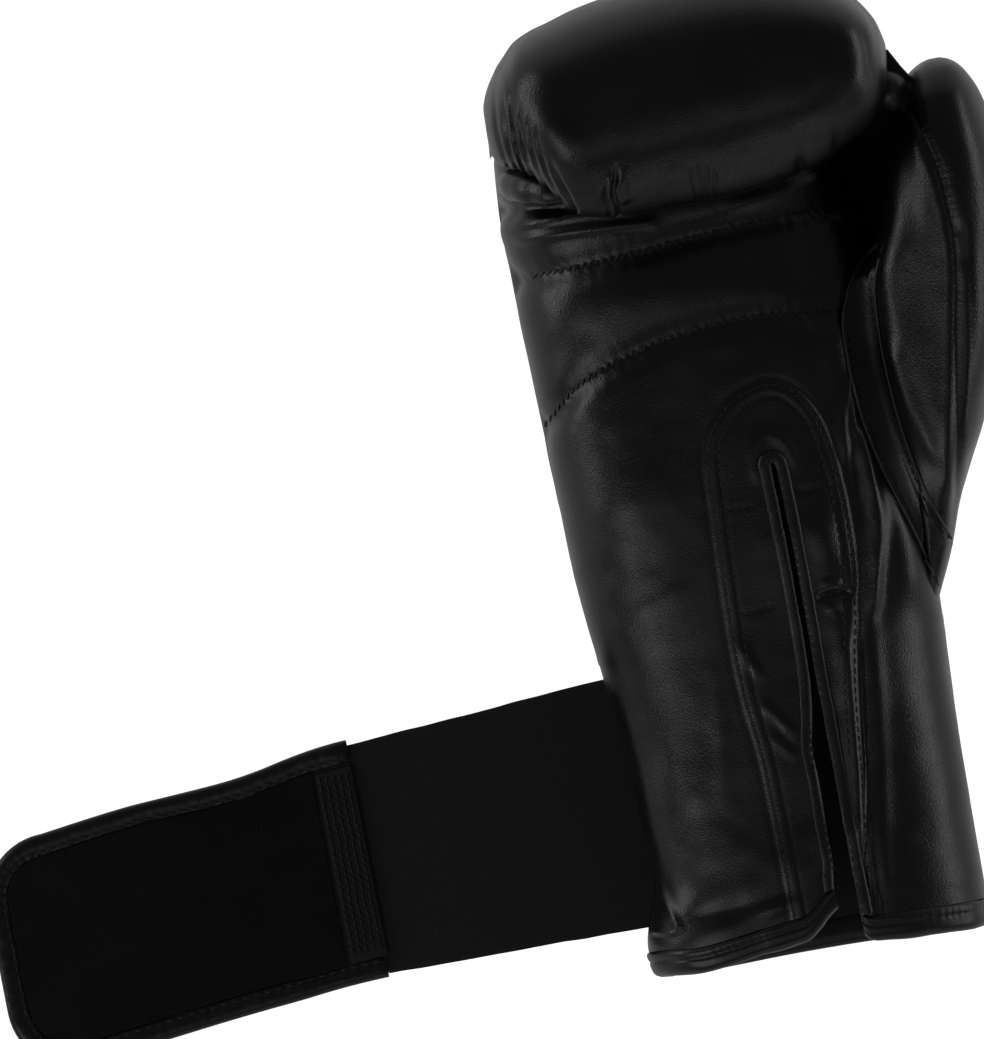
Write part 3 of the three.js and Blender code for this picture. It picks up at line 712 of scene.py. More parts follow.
@dataclass
class Skin:
    """Grid of points with a normal at each, from which panels are cut."""

    points: Array
    normals: Array
    keys: Array

    def quads(self, wrap: bool = False) -> Array:
        """Corner indices of every cell, the last column joining the first where it wraps."""
        return grid_quads(self.points, wrap)


def grid_quads(grid: Array, wrap: bool = False) -> Array:
    """Corner indices of every cell of a grid.

    Args:
        grid: its points.
        wrap: the last column joins the first.

    Returns:
        Four indices a cell.
    """
    rows, columns = grid.shape[:2]
    index = np.arange(rows * columns).reshape(rows, columns)
    right = np.roll(index, -1, axis=1) if wrap else index[:, 1:]
    left = index if wrap else index[:, :-1]
    return np.stack([left[:-1], left[1:], right[1:], right[:-1]], axis=-1).reshape(-1, 4)


def fan_cap(rim: Array, closed: bool, flip: bool) -> Patch:
    """Fan of triangles from the middle of a rim.

    Args:
        rim: its points in order.
        closed: the last point joins the first.
        flip: turns the faces over.

    Returns:
        The points, with the middle as the last, and the faces.
    """
    start = np.arange(len(rim) if closed else len(rim) - 1)
    end = np.roll(start, -1) if closed else start + 1
    fan = np.column_stack([start, end, np.full(len(start), len(rim))])
    return np.vstack([rim, rim.mean(axis=0)]), fan[:, ::-1] if flip else fan


def band(grid: Array) -> list[Patch]:
    """Folded band closed at both ends, as its patches."""
    caps = [fan_cap(grid[:, column], False, column == 0) for column in (0, -1)]
    return [(grid, grid_quads(grid)[:, ::-1]), *caps]


def skin_from(base: Array, relief: Array, keys: Array, wrap: bool = False) -> Skin:
    """Pushes a surface out along its normals.

    Args:
        base: grid of points.
        relief: height to add at each.
        keys: X and Y that each point is known by.
        wrap: columns close on themselves.

    Returns:
        The pushed surface with its normals.
    """
    points = base + normals_of(base, wrap) * relief[..., None]
    return Skin(points, normals_of(points, wrap), keys)


def normals_of(points: Array, wrap: bool = False) -> Array:
    """Unit normals of a grid of points.

    Args:
        points: grid of points.
        wrap: columns close on themselves.

    Returns:
        A normal for each point.
    """
    if wrap:
        across = np.roll(points, -1, axis=1) - np.roll(points, 1, axis=1)
    else:
        across = np.gradient(points, axis=1)
    along = np.gradient(points, axis=0)
    return unit(np.cross(along, across))


class MeshBin:
    """Collects points and faces of one piece and turns them into an object."""

    def __init__(self) -> None:
        """Starts empty."""
        self.points: list[Array] = []
        self.normals: list[Array] = []
        self.faces: list[tuple[Array, int]] = []
        self.count = 0

    def add(self, points: Array, faces: Array, slot: int = 0, normals: Array | None = None) -> None:
        """Adds a patch.

        Args:
            points: its points.
            faces: its faces by index into those points.
            slot: material slot.
            normals: normals to keep, or None to work them out.
        """
        flat = points.reshape(-1, 3)
        used, renumbered = np.unique(faces, return_inverse=True)
        self.points.append(flat[used])
        zero = np.zeros((len(used), 3))
        self.normals.append(zero if normals is None else normals.reshape(-1, 3)[used])
        self.faces.append((renumbered.reshape(faces.shape) + self.count, slot))
        self.count += len(used)

    def make(self, name: str, materials: Sequence[Material]) -> bpy.types.Object:
        """Makes the object.

        Args:
            name: its name.
            materials: one a slot.

        Returns:
            The object, linked to the scene.
        """
        mesh = bpy.data.meshes.new(name)
        points = np.concatenate(self.points) * METRE
        faces = [f for patch, _ in self.faces for f in patch.tolist()]
        mesh.from_pydata(points.tolist(), [], faces)
        for material in materials:
            mesh.materials.append(material)
        slots = np.concatenate([np.full(len(patch), slot) for patch, slot in self.faces])
        mesh.polygons.foreach_set("material_index", slots.astype(np.int32))
        mesh.polygons.foreach_set("use_smooth", np.ones(len(faces), dtype=bool))
        mesh.update()
        normals = np.concatenate(self.normals)
        if np.any(normals):
            mesh.normals_split_custom_set_from_vertices(normals.tolist())
        obj = bpy.data.objects.new(name, mesh)
        bpy.context.scene.collection.objects.link(obj)
        return obj


def dress(obj: bpy.types.Object, node: str | None) -> None:
    """Ties a piece to the frame.

    Args:
        obj: the piece.
        node: solid that it stands for, if any.
    """
    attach(obj, "root")
    if node is not None:
        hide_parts(node)
    LOG.info("%s: %d faces", obj.name, len(obj.data.polygons))


def make_piece(
    name: str, finish: Material, patches: Sequence[Patch], node: str | None = None
) -> bpy.types.Object:
    """Makes a piece of one finish and ties it to the frame.

    Args:
        name: its name.
        finish: its finish.
        patches: points and faces of each of its patches.
        node: solid that it stands for, if any.

    Returns:
        The object.
    """
    bin_ = MeshBin()
    for points, faces in patches:
        bin_.add(points, faces)
    obj = bin_.make(name, [finish])
    dress(obj, node)
    return obj


def power(value: Array, exponent: float | Array) -> Array:
    """Power that keeps the sign."""
    return np.sign(value) * np.abs(value) ** exponent


def even_columns(points: Array, count: int) -> Array:
    """Spreads a row's points evenly along their length.

    Args:
        points: points of one row.
        count: number of columns.

    Returns:
        The evenly spread points.
    """
    run = run_along(points)
    return points_at(np.linspace(0.0, run[-1], count), run, points)


def even_outline(outline: Array, step: float) -> Array:
    """Closed outline with its points spaced evenly.

    Args:
        outline: its points in order, the last not repeating the first.
        step: distance between the new points.

    Returns:
        The new points.
    """
    looped = np.vstack([outline, outline[:1]])
    run = run_along(looped)
    at = np.linspace(0, run[-1], max(12, int(run[-1] / step)), endpoint=False)
    return points_at(at, run, looped)


def dense_outline(corners: Array, count: int) -> Array:
    """Closed outline with a number of points on each of its sides."""
    ends = np.roll(corners, -1, axis=0)
    return np.concatenate([np.linspace(a, b, count, endpoint=False) for a, b in zip(corners, ends)])


def section_arc(row: dict[str, float], start: float, stop: float, steps: int = 260) -> Array:
    """Points round part of a section.

    Args:
        row: y, left, right, floor, side and top of the section.
        start: first angle, from the +X side over the top.
        stop: last angle.
        steps: number of points.

    Returns:
        The points.
    """
    angle = np.linspace(start, stop, steps)
    cosine, sine = np.cos(angle), np.sin(angle)
    over = sine >= 0
    exponent = np.where(over, 2 / UPPER_POWER, 2 / LOWER_POWER)
    reach = np.where(over, row["top"] - row["side"], row["side"] - row["floor"])
    middle, half = (row["left"] + row["right"]) / 2, (row["right"] - row["left"]) / 2
    x = middle + half * power(cosine, exponent)
    z = row["side"] + reach * power(sine, exponent)
    return np.column_stack([x, np.full_like(x, row["y"]), np.maximum(z, 0.0)])


def rows_of(table: Table, stations: Array) -> list[dict[str, float]]:
    """Every section of a table, one at each station."""
    read = table(stations)
    return [{name: float(column[i]) for name, column in read.items()} for i in range(len(stations))]


def loft(table: Table, stations: Array, turn: tuple[float, float], count: int, steps: int = 260) -> Array:
    """Grid of evenly spread points over part of every section.

    Args:
        table: its sections.
        stations: Y of each row of the grid.
        turn: first and last angle.
        count: number of columns.
        steps: number of points that each section is worked out from.

    Returns:
        The grid.
    """
    rows = rows_of(table, stations)
    return np.array([even_columns(section_arc(row, *turn, steps), count) for row in rows])


PALM_SEAMS = [
    Seam(GRIP_LINE, depth=2.2, reach=4.2, crease=0.0, pucker=0.07, pitch=2.9, gather=0.1, gather_reach=5),
    Seam(PALM_LINE, depth=1.6, reach=4.0, crease=0.0, pucker=0.07, pitch=2.9, gather=0.08, gather_reach=5),
    Seam(BOLSTER_LINE, depth=1.4, reach=2.2, crease=0.3, gather=0.12, gather_reach=4),
    Seam(GUSSET_PALM, depth=0.3, reach=1.4, crease=0.1),
]
PALM_FOLDS = [
    fold(0.9, 1.5, (-54, 79), (-30, 77.5), (-14, 76), fade=5),
    fold(1.1, 1.6, (-54, 74), (-30, 73), (-8, 71), fade=5),
    fold(0.7, 1.8, (8, 71.5), (28, 73), (47, 75)),
    fold(1.2, 1.8, (40, 18), (36.6, 11.5), (33.8, 5), (32.4, -3), (32, -12), fade=8),
    fold(0.9, 1.3, (38.4, 12), (36.8, 5), (35.8, -5), fade=6),
    fold(-0.5, 2.0, (35.6, -4), (34.6, -14), (34, -24), (32.6, -34), fade=9),
    fold(
        1.8, 2.6, (37.9, 4), (37.8, -10), (38.4, -20), (38, -30), (35.4, -41), (31.6, -52),
        (28, -62), fade=12,
    ),
    fold(
        1.0, 3.2, (31, -55), (29, -66), (27.4, -80), (25.6, -92), (24, -104), (22, -117),
        (19.6, -130), (18, -142),
    ),
    fold(
        -0.8,
        0.8,
        *[(30.4, -42), (28.4, -49), (26.6, -57), (25.4, -66), (23.8, -78), (22, -89)],
        *[(20.3, -100), (17.4, -115), (14.6, -130), (13.0, -146)],
        fade=14,
    ),
    fold(
        2.3, 2.9, (21.6, -55), (20.8, -63), (19.5, -77), (18.4, -88), (17.1, -100), (15, -115),
        (12.6, -130), fade=12,
    ),
    fold(
        0.5, 2.0, (-51.6, -52), (-49.6, -64), (-47.6, -76), (-46.4, -92), (-46, -108),
        (-44.6, -124), fade=14,
    ),
    fold(0.9, 2.4, (38.7, -6), (36.4, -25), (33.6, -44), (31, -58), fade=12),
    fold(0.7, 1.3, (-47.6, -118), (-46.8, -127), (-45, -135), (-43.4, -142), fade=7, last=4),
    fold(0.6, 0.9, (-53, -139.4), (-48, -140.8), (-43.6, -140.6), fade=3),
    fold(0.25, 4.0, (-36, -72), (-36, -86), (-38, -98)),
    fold(0.5, 2.8, (-18, -56), (-20, -80), (-25, -110), fade=22),
    fold(0.7, 1.8, (-9.2, -55), (-8, -63), (-4.4, -70), fade=6),
    fold(0.5, 1.7, (-8, -74), (-3, -81), (2.2, -89), fade=6),
    fold(-0.25, 1.6, (-6.4, -79), (-2.4, -86), (1.6, -93), fade=6),
    fold(0.4, 1.6, (-6.2, -85), (-1.7, -91.7), (1.3, -94.6), fade=5),
    fold(0.35, 3.0, (-42, -43), (-30, -40), (-18, -37), fade=9),
    fold(0.35, 2.2, (22, -139), (36, -139.6), (52, -140), fade=8),
    fold(0.7, 4.2, (18.6, -20), (20, -31), (20, -43)),
    fold(0.7, 2.0, (4.5, -12), (5.5, -2), (10, 2.6), (15, -1), (17.6, -10), fade=5),
    fold(-0.4, 0.8, (14.4, -15.9), (27, -15.3), fade=3),
    fold(-1.3, 1.1, (14.4, -47.6), (27, -48.3), fade=3),
    fold(-0.12, 0.8, (-8.6, -16.8), (3, -17.3), fade=3),
    fold(-0.15, 0.8, (-9.4, -48.6), (4, -48.1), fade=3),
    fold(0.8, 1.8, (16, -44.4), (25, -45.0), fade=4),
    fold(0.9, 2.0, (16, -51.2), (23, -52.2), fade=4),
]


@dataclass(frozen=True)
class Mound:
    """Rounded rise, or a dent where its rise is negative."""

    x: float
    y: float
    wide: float
    long: float
    rise: float

    def relief(self, x: Array, y: Array) -> Array:
        """Height that it adds at each place."""
        return self.rise * np.exp(-(((x - self.x) / self.wide) ** 2) - ((y - self.y) / self.long) ** 2)


MOUNDS = [
    Mound(-47, 77, 14, 4.5, 1.4),
    Mound(-10, 74, 40, 5, 0.8),
    Mound(-20, 50, 34, 9, 1.6),
    Mound(-34, -2, 14, 24, 1.8),
    Mound(58, 8, 7, 24, 2),
    Mound(-30, -137, 10, 3.4, -0.9),
    Mound(-14, -141, 6, 3.0, 0.8),
    Mound(21, -33, 4.5, 10, 1.1),
    Mound(20.5, -56, 4.5, 5, 0.9),
    Mound(-48, 89, 6, 5, 1.2),
]


def thumb_slope(x: Array, y: Array, z: Array) -> Array:
    """Depth of the soft scoop that makes the thumb's palm side slope evenly down to the gusset.

    Args:
        x: X of each place.
        y: Y of each place.
        z: height of each place.

    Returns:
        The depths.
    """
    left = THUMB(y)["left"]
    seam = GATHER_LINE.x_at(y)
    gap = np.maximum(seam - left, 8.0)
    return 0.2 * gap * bump(x - (left + seam) / 2 + 1.0, 0.36 * gap) * ease((z - 48) / 16)


def thumb_side_lift(x: Array, y: Array) -> Array:
    """Height that the palm gains beside the thumb, where the leather is drawn up to the gusset."""
    drawn = 2.0 + 3.2 * bump(y + 38, 22.0)
    return drawn * ease((x - 31) / 17) * ease((y + 62) / 16) * (1 - ease((y - 56) / 14))


def palm_relief(x: Array, y: Array) -> Array:
    """Relief of the hand's upper side: seams, folds, mounds, the raised patch and slight unevenness.

    Args:
        x: X of each place.
        y: Y of each place.

    Returns:
        The heights.
    """
    height = 0.35 * lumps(x, y, 17.0, 2) + 0.12 * lumps(x, y, 6.0, 3)
    for seam in PALM_SEAMS:
        height += seam.height(x, y)
    for soft in PALM_FOLDS + MOUNDS:
        height += soft.relief(x, y)
    near, side, _ = PATCH_LINE.measure(x, y, 30.0)
    patch = np.zeros(x.size)
    patch[near] = 0.35 * ease((0.3 - side) / 1.0) - 0.2 * bump(side - 0.8, 1.0) + 0.12 * bump(side + 2.8, 1.2)
    for row in (1.2, 4.4):
        patch[near] -= 0.2 * bump(side + row, 0.6)
    return height + patch.reshape(x.shape)


@dataclass
class HandShell:
    """Upper and lower skin of the hand and cuff, and the lining of its hollow."""

    fine: float = 0.75
    coarse: float = 1.6
    top_end: float = 112.0
    palm_round: float = 200.0
    back_round: float = 175.0
    closing_start: float = 92.0
    closing_in: float = 0.3
    closing_up: float = 0.4
    bolster_sides: int = 28
    bolster_rows: int = 60

    def skin(self, spacing: float, upper: bool) -> Skin:
        """Grid over the upper or lower half.

        Args:
            spacing: distance between points.
            upper: the palm side, or else the back.

        Returns:
            The skin with its relief.
        """
        stations = np.arange(BAND_TOP, self.top_end, spacing)
        count = int((self.palm_round if upper else self.back_round) / spacing)
        base = loft(HAND, stations, PALM_TURN if upper else BACK_TURN, count)
        x, y = base[..., 0], base[..., 1]
        rise = np.clip(base[..., 2] / SPLIT_HEIGHT, 0, 1)
        closing = ease((y - self.closing_start - 7 * rise) / 14)
        base[..., 0] -= self.closing_in * closing * x
        if not upper:
            base[..., 2] += self.closing_up * closing * (SPLIT_HEIGHT - base[..., 2])
        if upper:
            edge = np.minimum(np.arange(count), np.arange(count)[::-1]) * spacing
            base[..., 2] += thumb_side_lift(x, y) * ease((base[..., 2] - SPLIT_HEIGHT) / 14)
            relief = palm_relief(x, y) * ease(edge / 10)
        else:
            relief = self.back_relief(base)
        pushed = mouth_lift(base + normals_of(base) * relief[..., None])
        return Skin(pushed, normals_of(pushed), base[..., :2])

    @staticmethod
    def back_relief(base: Array) -> Array:
        """Relief of the back: the seam across the wrist and slight unevenness.

        Args:
            base: grid of points.

        Returns:
            The heights.
        """
        x, y, z = base[..., 0], base[..., 1], base[..., 2]
        free = ease(z / 8)
        height = (0.35 * lumps(x + z, y, 18.0, 8) + 0.1 * lumps(x + z, y, 6.0, 9)) * free
        height -= 1.6 * bump(y - CUFF_SEAM, 1.6) * free
        height += 0.35 * np.sin(2 * math.pi * (x + z) / 5.2) * bump(np.abs(y - CUFF_SEAM) - 1.5, 3.0) * free
        return height - 0.5 * bump(z - SPLIT_HEIGHT + 5, 1.2)

    @staticmethod
    def panels(skin: Skin, cells: Array) -> dict[Panel, Array]:
        """Sorts grid cells into leather panels.

        Args:
            skin: the upper skin.
            cells: its cells.

        Returns:
            The cells of each panel.
        """
        middle = skin.keys.reshape(-1, 2)[cells].mean(axis=1)
        x, y = middle[:, 0], middle[:, 1]
        is_gusset = (x > GUSSET_PALM.x_at(y)) & (y < GUSSET_TOP) & (y > GUSSET_FOOT)
        patch = np.zeros(len(x))
        near, d, _ = PATCH_LINE.measure(x, y, 30.0)
        patch[near] = d
        is_patch = (patch < 0) & (y < PATCH_TOP)
        left, right = SLIT.edges(y)
        in_slit = (x > left - 0.4) & (x < right + 0.4) & (y < SLIT.top_y - SLIT_CLEARANCE)
        is_bolster = (x < BOLSTER_CORNER[0]) & (y > BOLSTER_CORNER[1]) & ~is_gusset
        rest = ~(is_gusset | is_patch | is_bolster)
        over_grip, over_palm = y >= GRIP_LINE.y_at(x), y >= PALM_LINE.y_at(x)
        groups = {
            Panel.PATCH: is_patch & ~is_gusset,
            Panel.BOLSTER: is_bolster,
            Panel.GRIP: rest & over_grip,
            Panel.UPPER: rest & ~over_grip & over_palm,
            Panel.LOWER: rest & ~over_palm,
        }
        return {panel: cells[mask & ~in_slit] for panel, mask in groups.items()}

    def lining(self, low: float, high: float, upper: bool) -> tuple[Array, Array]:
        """Inner face of the hollow.

        Args:
            low: lowest Y.
            high: highest Y.
            upper: the palm side, or else the back.

        Returns:
            Its points and cells, facing inwards.
        """
        stations = np.linspace(low, high, max(3, int((high - low) / 3)))
        points = loft(HOLLOW, stations, PALM_TURN if upper else BACK_TURN, 50)
        points[..., 2] += 0.35 * lumps(points[..., 0], points[..., 1], 9.0, 4)
        points = mouth_lift(points)
        cells = grid_quads(points)[:, ::-1]
        x, y, _ = points.reshape(-1, 3)[cells].mean(axis=1).T
        left, right = SLIT.edges(y)
        in_slit = (x > left - 0.5) & (x < right + 0.5) & (y < SLIT.top_y - SLIT_CLEARANCE)
        return points, cells[~in_slit] if upper else cells

    def bolster(self) -> list[Patch]:
        """Small puffed roll at the outer corner, over the foot of the fist's pleats.

        Returns:
            Its patches.
        """
        spine = Table(
            "s x y z size",
            [
                (0, -51.8, 91.4, 40, 3.9),
                (1, -50.9, 91.2, 52, 4.8),
                (2, -49.2, 90.4, 61, 5.2),
                (3, -47, 89.2, 67.5, 5.1),
                (4, -43.4, 88.0, 71.5, 4.9),
                (5, -39.6, 86.0, 75, 3.8),
                (6, -35, 83.8, 77, 1.8),
            ],
        )
        row = spine(np.linspace(0, 6, self.bolster_rows))
        path = np.column_stack([row["x"], row["y"], row["z"]])
        wobble = 1 + 0.03 * np.sin(row["s"] * 4.1)
        out = path - np.array([-20.0, 88.0, 30.0])
        out[:, 1] = 0
        size = row["size"]
        return bar(path, self.bolster_sides, size * wobble, size * 0.85 * wobble, unit(out))

    def build(self, finishes: Finishes) -> Skin:
        """Makes the panels of the hand and cuff.

        Args:
            finishes: the glove's finishes.

        Returns:
            The upper skin, for what is sewn on it.
        """
        leather, lining = finishes["black_leather"], finishes["lining"]
        skin = self.skin(self.fine, True)
        for panel, cells in self.panels(skin, skin.quads()).items():
            bin_ = MeshBin()
            bin_.add(skin.points, cells, 0, skin.normals)
            if panel is Panel.BOLSTER:
                for points, faces in self.bolster():
                    bin_.add(points, faces)
            if panel is Panel.LOWER:
                bin_.add(*self.lining(BAND_TOP, HOLLOW_END, True), 1)
            dress(bin_.make(panel.value, [leather, lining]), panel.value)
        back = self.skin(self.coarse, False)
        cells = back.quads()
        middle = back.keys.reshape(-1, 2)[cells].mean(axis=1)[:, 1]
        for node, mask, low, high in (
            ("cuff_back", middle < CUFF_SEAM, BAND_TOP, CUFF_SEAM),
            ("hand_back", middle >= CUFF_SEAM, CUFF_SEAM, HOLLOW_END),
        ):
            bin_ = MeshBin()
            bin_.add(back.points, cells[mask], 0, back.normals)
            bin_.add(*self.lining(low, high, False), 1)
            dress(bin_.make(node, [leather, lining]), node)
        return skin


@dataclass
class FistPad:
    """Padding of the knuckles with its end rolled over the fingers and gathered at the outer corner."""

    around: int = 360
    across: int = 250
    shape_power: float = 2.5
    upper_power: float = 2.8
    overhang: float = 6.0
    roll: float = 5.6
    roll_height: float = 89.0
    roll_reach: float = 11.0
    roll_start: float = -46.0
    under_height: float = 62.0
    crowding: float = 0.55

    def gathers(self, x: Array, y: Array, z: Array) -> Array:
        """Depth of the fanning pleats and the small pinches along the sewn edge.

        Args:
            x: X of each place.
            y: Y of each place.
            z: Z of each place.

        Returns:
            The relief, negative in a fold.
        """
        upper = ease((z - 60) / 10)
        relief = np.zeros_like(x)
        for pleat in PLEATS:
            relief += pleat.relief(x, y)
        for notch_x, notch_y, depth in ((35.3, 78.6, 0.9), (47.2, 83.6, 0.7)):
            relief -= depth * np.exp(-(((x - notch_x) / 1.6) ** 2) - ((y - notch_y) / 4.0) ** 2)
        return relief * upper

    def build(self, finishes: Finishes) -> Skin:
        """Makes the padded fist.

        Args:
            finishes: the glove's finishes.

        Returns:
            Its skin.
        """
        low, high = FIST.data[0, 0], FIST.data[-1, 0]
        angle = np.linspace(-math.pi / 2, math.pi / 2, self.across)
        blend = np.linspace(-1, 1, self.across)
        crowded = self.crowding * np.sin(angle) + (1 - self.crowding) * blend
        x = (low + high) / 2 + (high - low) / 2 * crowded
        grid = []
        for row in rows_of(FIST, x):
            turn = np.linspace(0, 2 * math.pi, self.around * 2 + 1)
            half, middle = (row["far"] - row["near"]) / 2, (row["far"] + row["near"]) / 2
            rise, centre = (row["top"] - row["floor"]) / 2, (row["top"] + row["floor"]) / 2
            exponent = 2 / np.where(np.sin(turn) > 0, self.upper_power, self.shape_power)
            y = middle + half * power(np.cos(turn), exponent)
            z = centre + rise * power(np.sin(turn), exponent)
            under = 1 - ease((z - self.under_height) / 16)
            near_side = ease((middle - y) / 14)
            bulge = self.roll * ease((row["x"] - self.roll_start) / 14)
            rolled = bulge * bump(z - self.roll_height, self.roll_reach)
            y = y + near_side * (self.overhang * under - rolled)
            ring = np.column_stack([np.full_like(y, row["x"]), y, np.maximum(z, 0.0)])
            grid.append(even_columns(ring, self.around + 1)[:-1])
        base = np.array(grid)
        x, y, z = base[..., 0], base[..., 1], base[..., 2]
        relief = self.gathers(x, y, z)
        relief += (0.4 * lumps(x, y + z, 20.0, 21) + 0.12 * lumps(x, y + z, 7.0, 22)) * ease(z / 10)
        base = base[::-1]
        skin = skin_from(base, relief[::-1], base[..., :2], wrap=True)
        bin_ = MeshBin()
        bin_.add(skin.points, skin.quads(wrap=True), 0, skin.normals)
        for end in (0, -1):
            bin_.add(*fan_cap(skin.points[end], True, end == 0))
        dress(bin_.make("fist_pad", [finishes["black_leather"]]), "fist_pad")
        return skin


PLEATS = [
    fold(-0.8, 0.5, (-50.4, 121), (-51.9, 108.6), (-51.2, 99.7), (-50, 92), fade=16, last=1),
    fold(-1.0, 0.5, (-47.8, 121.3), (-49.2, 112), (-49.4, 101.3), (-48.2, 94.8), (-47, 90), fade=16, last=1),
    fold(
        -1.1, 0.5, (-45.2, 120), (-47.0, 112.7), (-47.4, 102.3), (-46.2, 93.6), (-44.8, 88),
        fade=14, last=1,
    ),
    fold(-1.1, 0.5, (-43.4, 115), (-45.2, 106.4), (-45.0, 97), (-43.4, 90), (-42, 86), fade=12, last=1),
    fold(-1.0, 0.5, (-41.2, 112.2), (-43, 104.5), (-42.5, 95.5), (-40.8, 87.9), (-39.4, 84), fade=12, last=1),
    fold(-1.0, 0.5, (-39.4, 107.5), (-40.6, 101.3), (-40, 92.8), (-38.3, 85.9), (-37, 82), fade=12, last=1),
    fold(-1.5, 0.7, (-37.6, 98), (-37.2, 90.6), (-35.2, 84.3), (-33.4, 78), fade=12, last=1),
    fold(0.9, 5.6, (-44, 118), (-37.4, 107), (-30.6, 96), (-25.6, 86), (-23, 79), fade=16, last=6),
    fold(-1.4, 0.8, (-18.2, 92), (-20, 86.5), (-21.6, 82), (-20.6, 74), fade=7, last=1),
    fold(-1.2, 0.6, (-22.3, 88), (-23.6, 82), (-23, 75), fade=5, last=1),
    fold(1.2, 1.1, (-20.6, 89), (-22.2, 83), (-22, 75), fade=5, last=1),
    fold(1.0, 1.8, (-16.8, 90), (-18.4, 83), (-18, 78), fade=6, last=2),
    fold(-0.9, 0.55, (2.6, 86.5), (2.9, 79.6), (3, 74), fade=5, last=1),
    fold(-0.9, 0.55, (4.9, 87), (4.6, 80.2), (4.6, 74), fade=5, last=1),
    fold(-0.8, 0.55, (7.4, 86.5), (6.8, 79.6), (6.4, 74), fade=5, last=1),
    fold(-0.7, 0.55, (10, 85), (9.1, 79.6), (8.6, 74), fade=5, last=1),
]
THUMB_SEAMS = [
    Seam(GATHER_LINE, depth=0.9, reach=2.2, crease=0.35, gather=0.1, gather_reach=1.5, gather_pitch=1.9),
    Seam(
        Line([(77.4, 52), (76.8, 70), (74.6, 82), (73, 90)]),
        depth=0.3,
        reach=2.0,
        crease=0.1,
        gather=0.13,
        gather_reach=1.8,
        gather_pitch=2.3,
    ),
    Seam(
        Line([(79, 52), (78.4, 42), (76.6, 30), (73.6, 16), (70.4, 2), (66.6, -14)]),
        depth=0.3,
        reach=1.6,
        crease=0.0,
        gather=0.13,
        gather_reach=2.2,
        gather_pitch=1.5,
    ),
]
THUMB_FOLDS = [
    fold(
        0.5, 1.3, (72.6, 78), (73.4, 66), (73.4, 48), (70.6, 30), (66.8, 10), (62.6, -10),
        (59.6, -28), fade=8,
    ),
    fold(0.5, 1.3, (78, 44), (75.4, 26), (71.6, 6), (67.4, -12), (64.6, -26), fade=6),
    fold(0.8, 2.6, (51.8, 26), (54, 8), (57.8, -10), (60, -18), fade=10),
]


@dataclass
class Thumb:
    """Padded thumb: its palm-side panel and its outer pad, parted by a gathered seam."""

    around: int = 260
    spacing: float = 0.8
    tip_start: float = 95.0
    panel_low: float = -42.0
    panel_high: float = 90.0
    panel_floor: float = 45.0

    def build(self, finishes: Finishes) -> Skin:
        """Makes the thumb's two pieces.

        Args:
            finishes: the glove's finishes.

        Returns:
            The thumb's skin.
        """
        low, high = THUMB.data[0, 0], THUMB.data[-1, 0]
        tip = self.tip_start + (high - self.tip_start) * np.sin(np.linspace(0, math.pi / 2, 30))[1:]
        stations = np.concatenate([np.arange(low, self.tip_start, self.spacing), tip])
        base = loft(THUMB, stations, (0.0, 2 * math.pi), self.around + 1, 520)[:, :-1]
        base[..., 2] -= thumb_slope(base[..., 0], base[..., 1], base[..., 2])
        x, y, z = base[..., 0], base[..., 1], base[..., 2]
        relief = 0.35 * lumps(x + z, y, 16.0, 31) + 0.1 * lumps(x + z, y, 6.0, 32)
        upper = ease((z - 52) / 10)
        for seam in THUMB_SEAMS:
            relief += seam.height(x, y) * upper
        for soft in THUMB_FOLDS + MOUNDS:
            relief += soft.relief(x, y) * upper
        skin = skin_from(base, relief, base[..., :2], wrap=True)
        cells = skin.quads(wrap=True)
        middle = skin.points.reshape(-1, 3)[cells].mean(axis=1)
        x, y, z = middle.T
        on_panel = (x < GATHER_LINE.x_at(y)) & (z > self.panel_floor)
        on_panel &= (y > self.panel_low) & (y < self.panel_high)
        for name, mask, fill in (("thumb_panel", on_panel, 0.9), ("thumb_pad", ~on_panel, 0.95)):
            bin_ = MeshBin()
            bin_.add(skin.points, cells[mask], 0, skin.normals)
            if name == "thumb_pad":
                bin_.add(*fan_cap(skin.points[-1], True, False))
            dress(bin_.make(name, [finishes["black_leather"]]), name)
        return skin


def section_height(table: Table, x: Array, y: Array) -> Array:
    """Height of the upper half of a loft at each place.

    Args:
        table: its sections.
        x: X of each place.
        y: Y of each place.

    Returns:
        The heights, level with the widest point outside it.
    """
    row = table(y)
    middle, half = (row["left"] + row["right"]) / 2, (row["right"] - row["left"]) / 2
    u = np.clip(np.abs(x - middle) / half, 0, 1)
    return row["side"] + (row["top"] - row["side"]) * (1 - u**UPPER_POWER) ** (1 / UPPER_POWER)


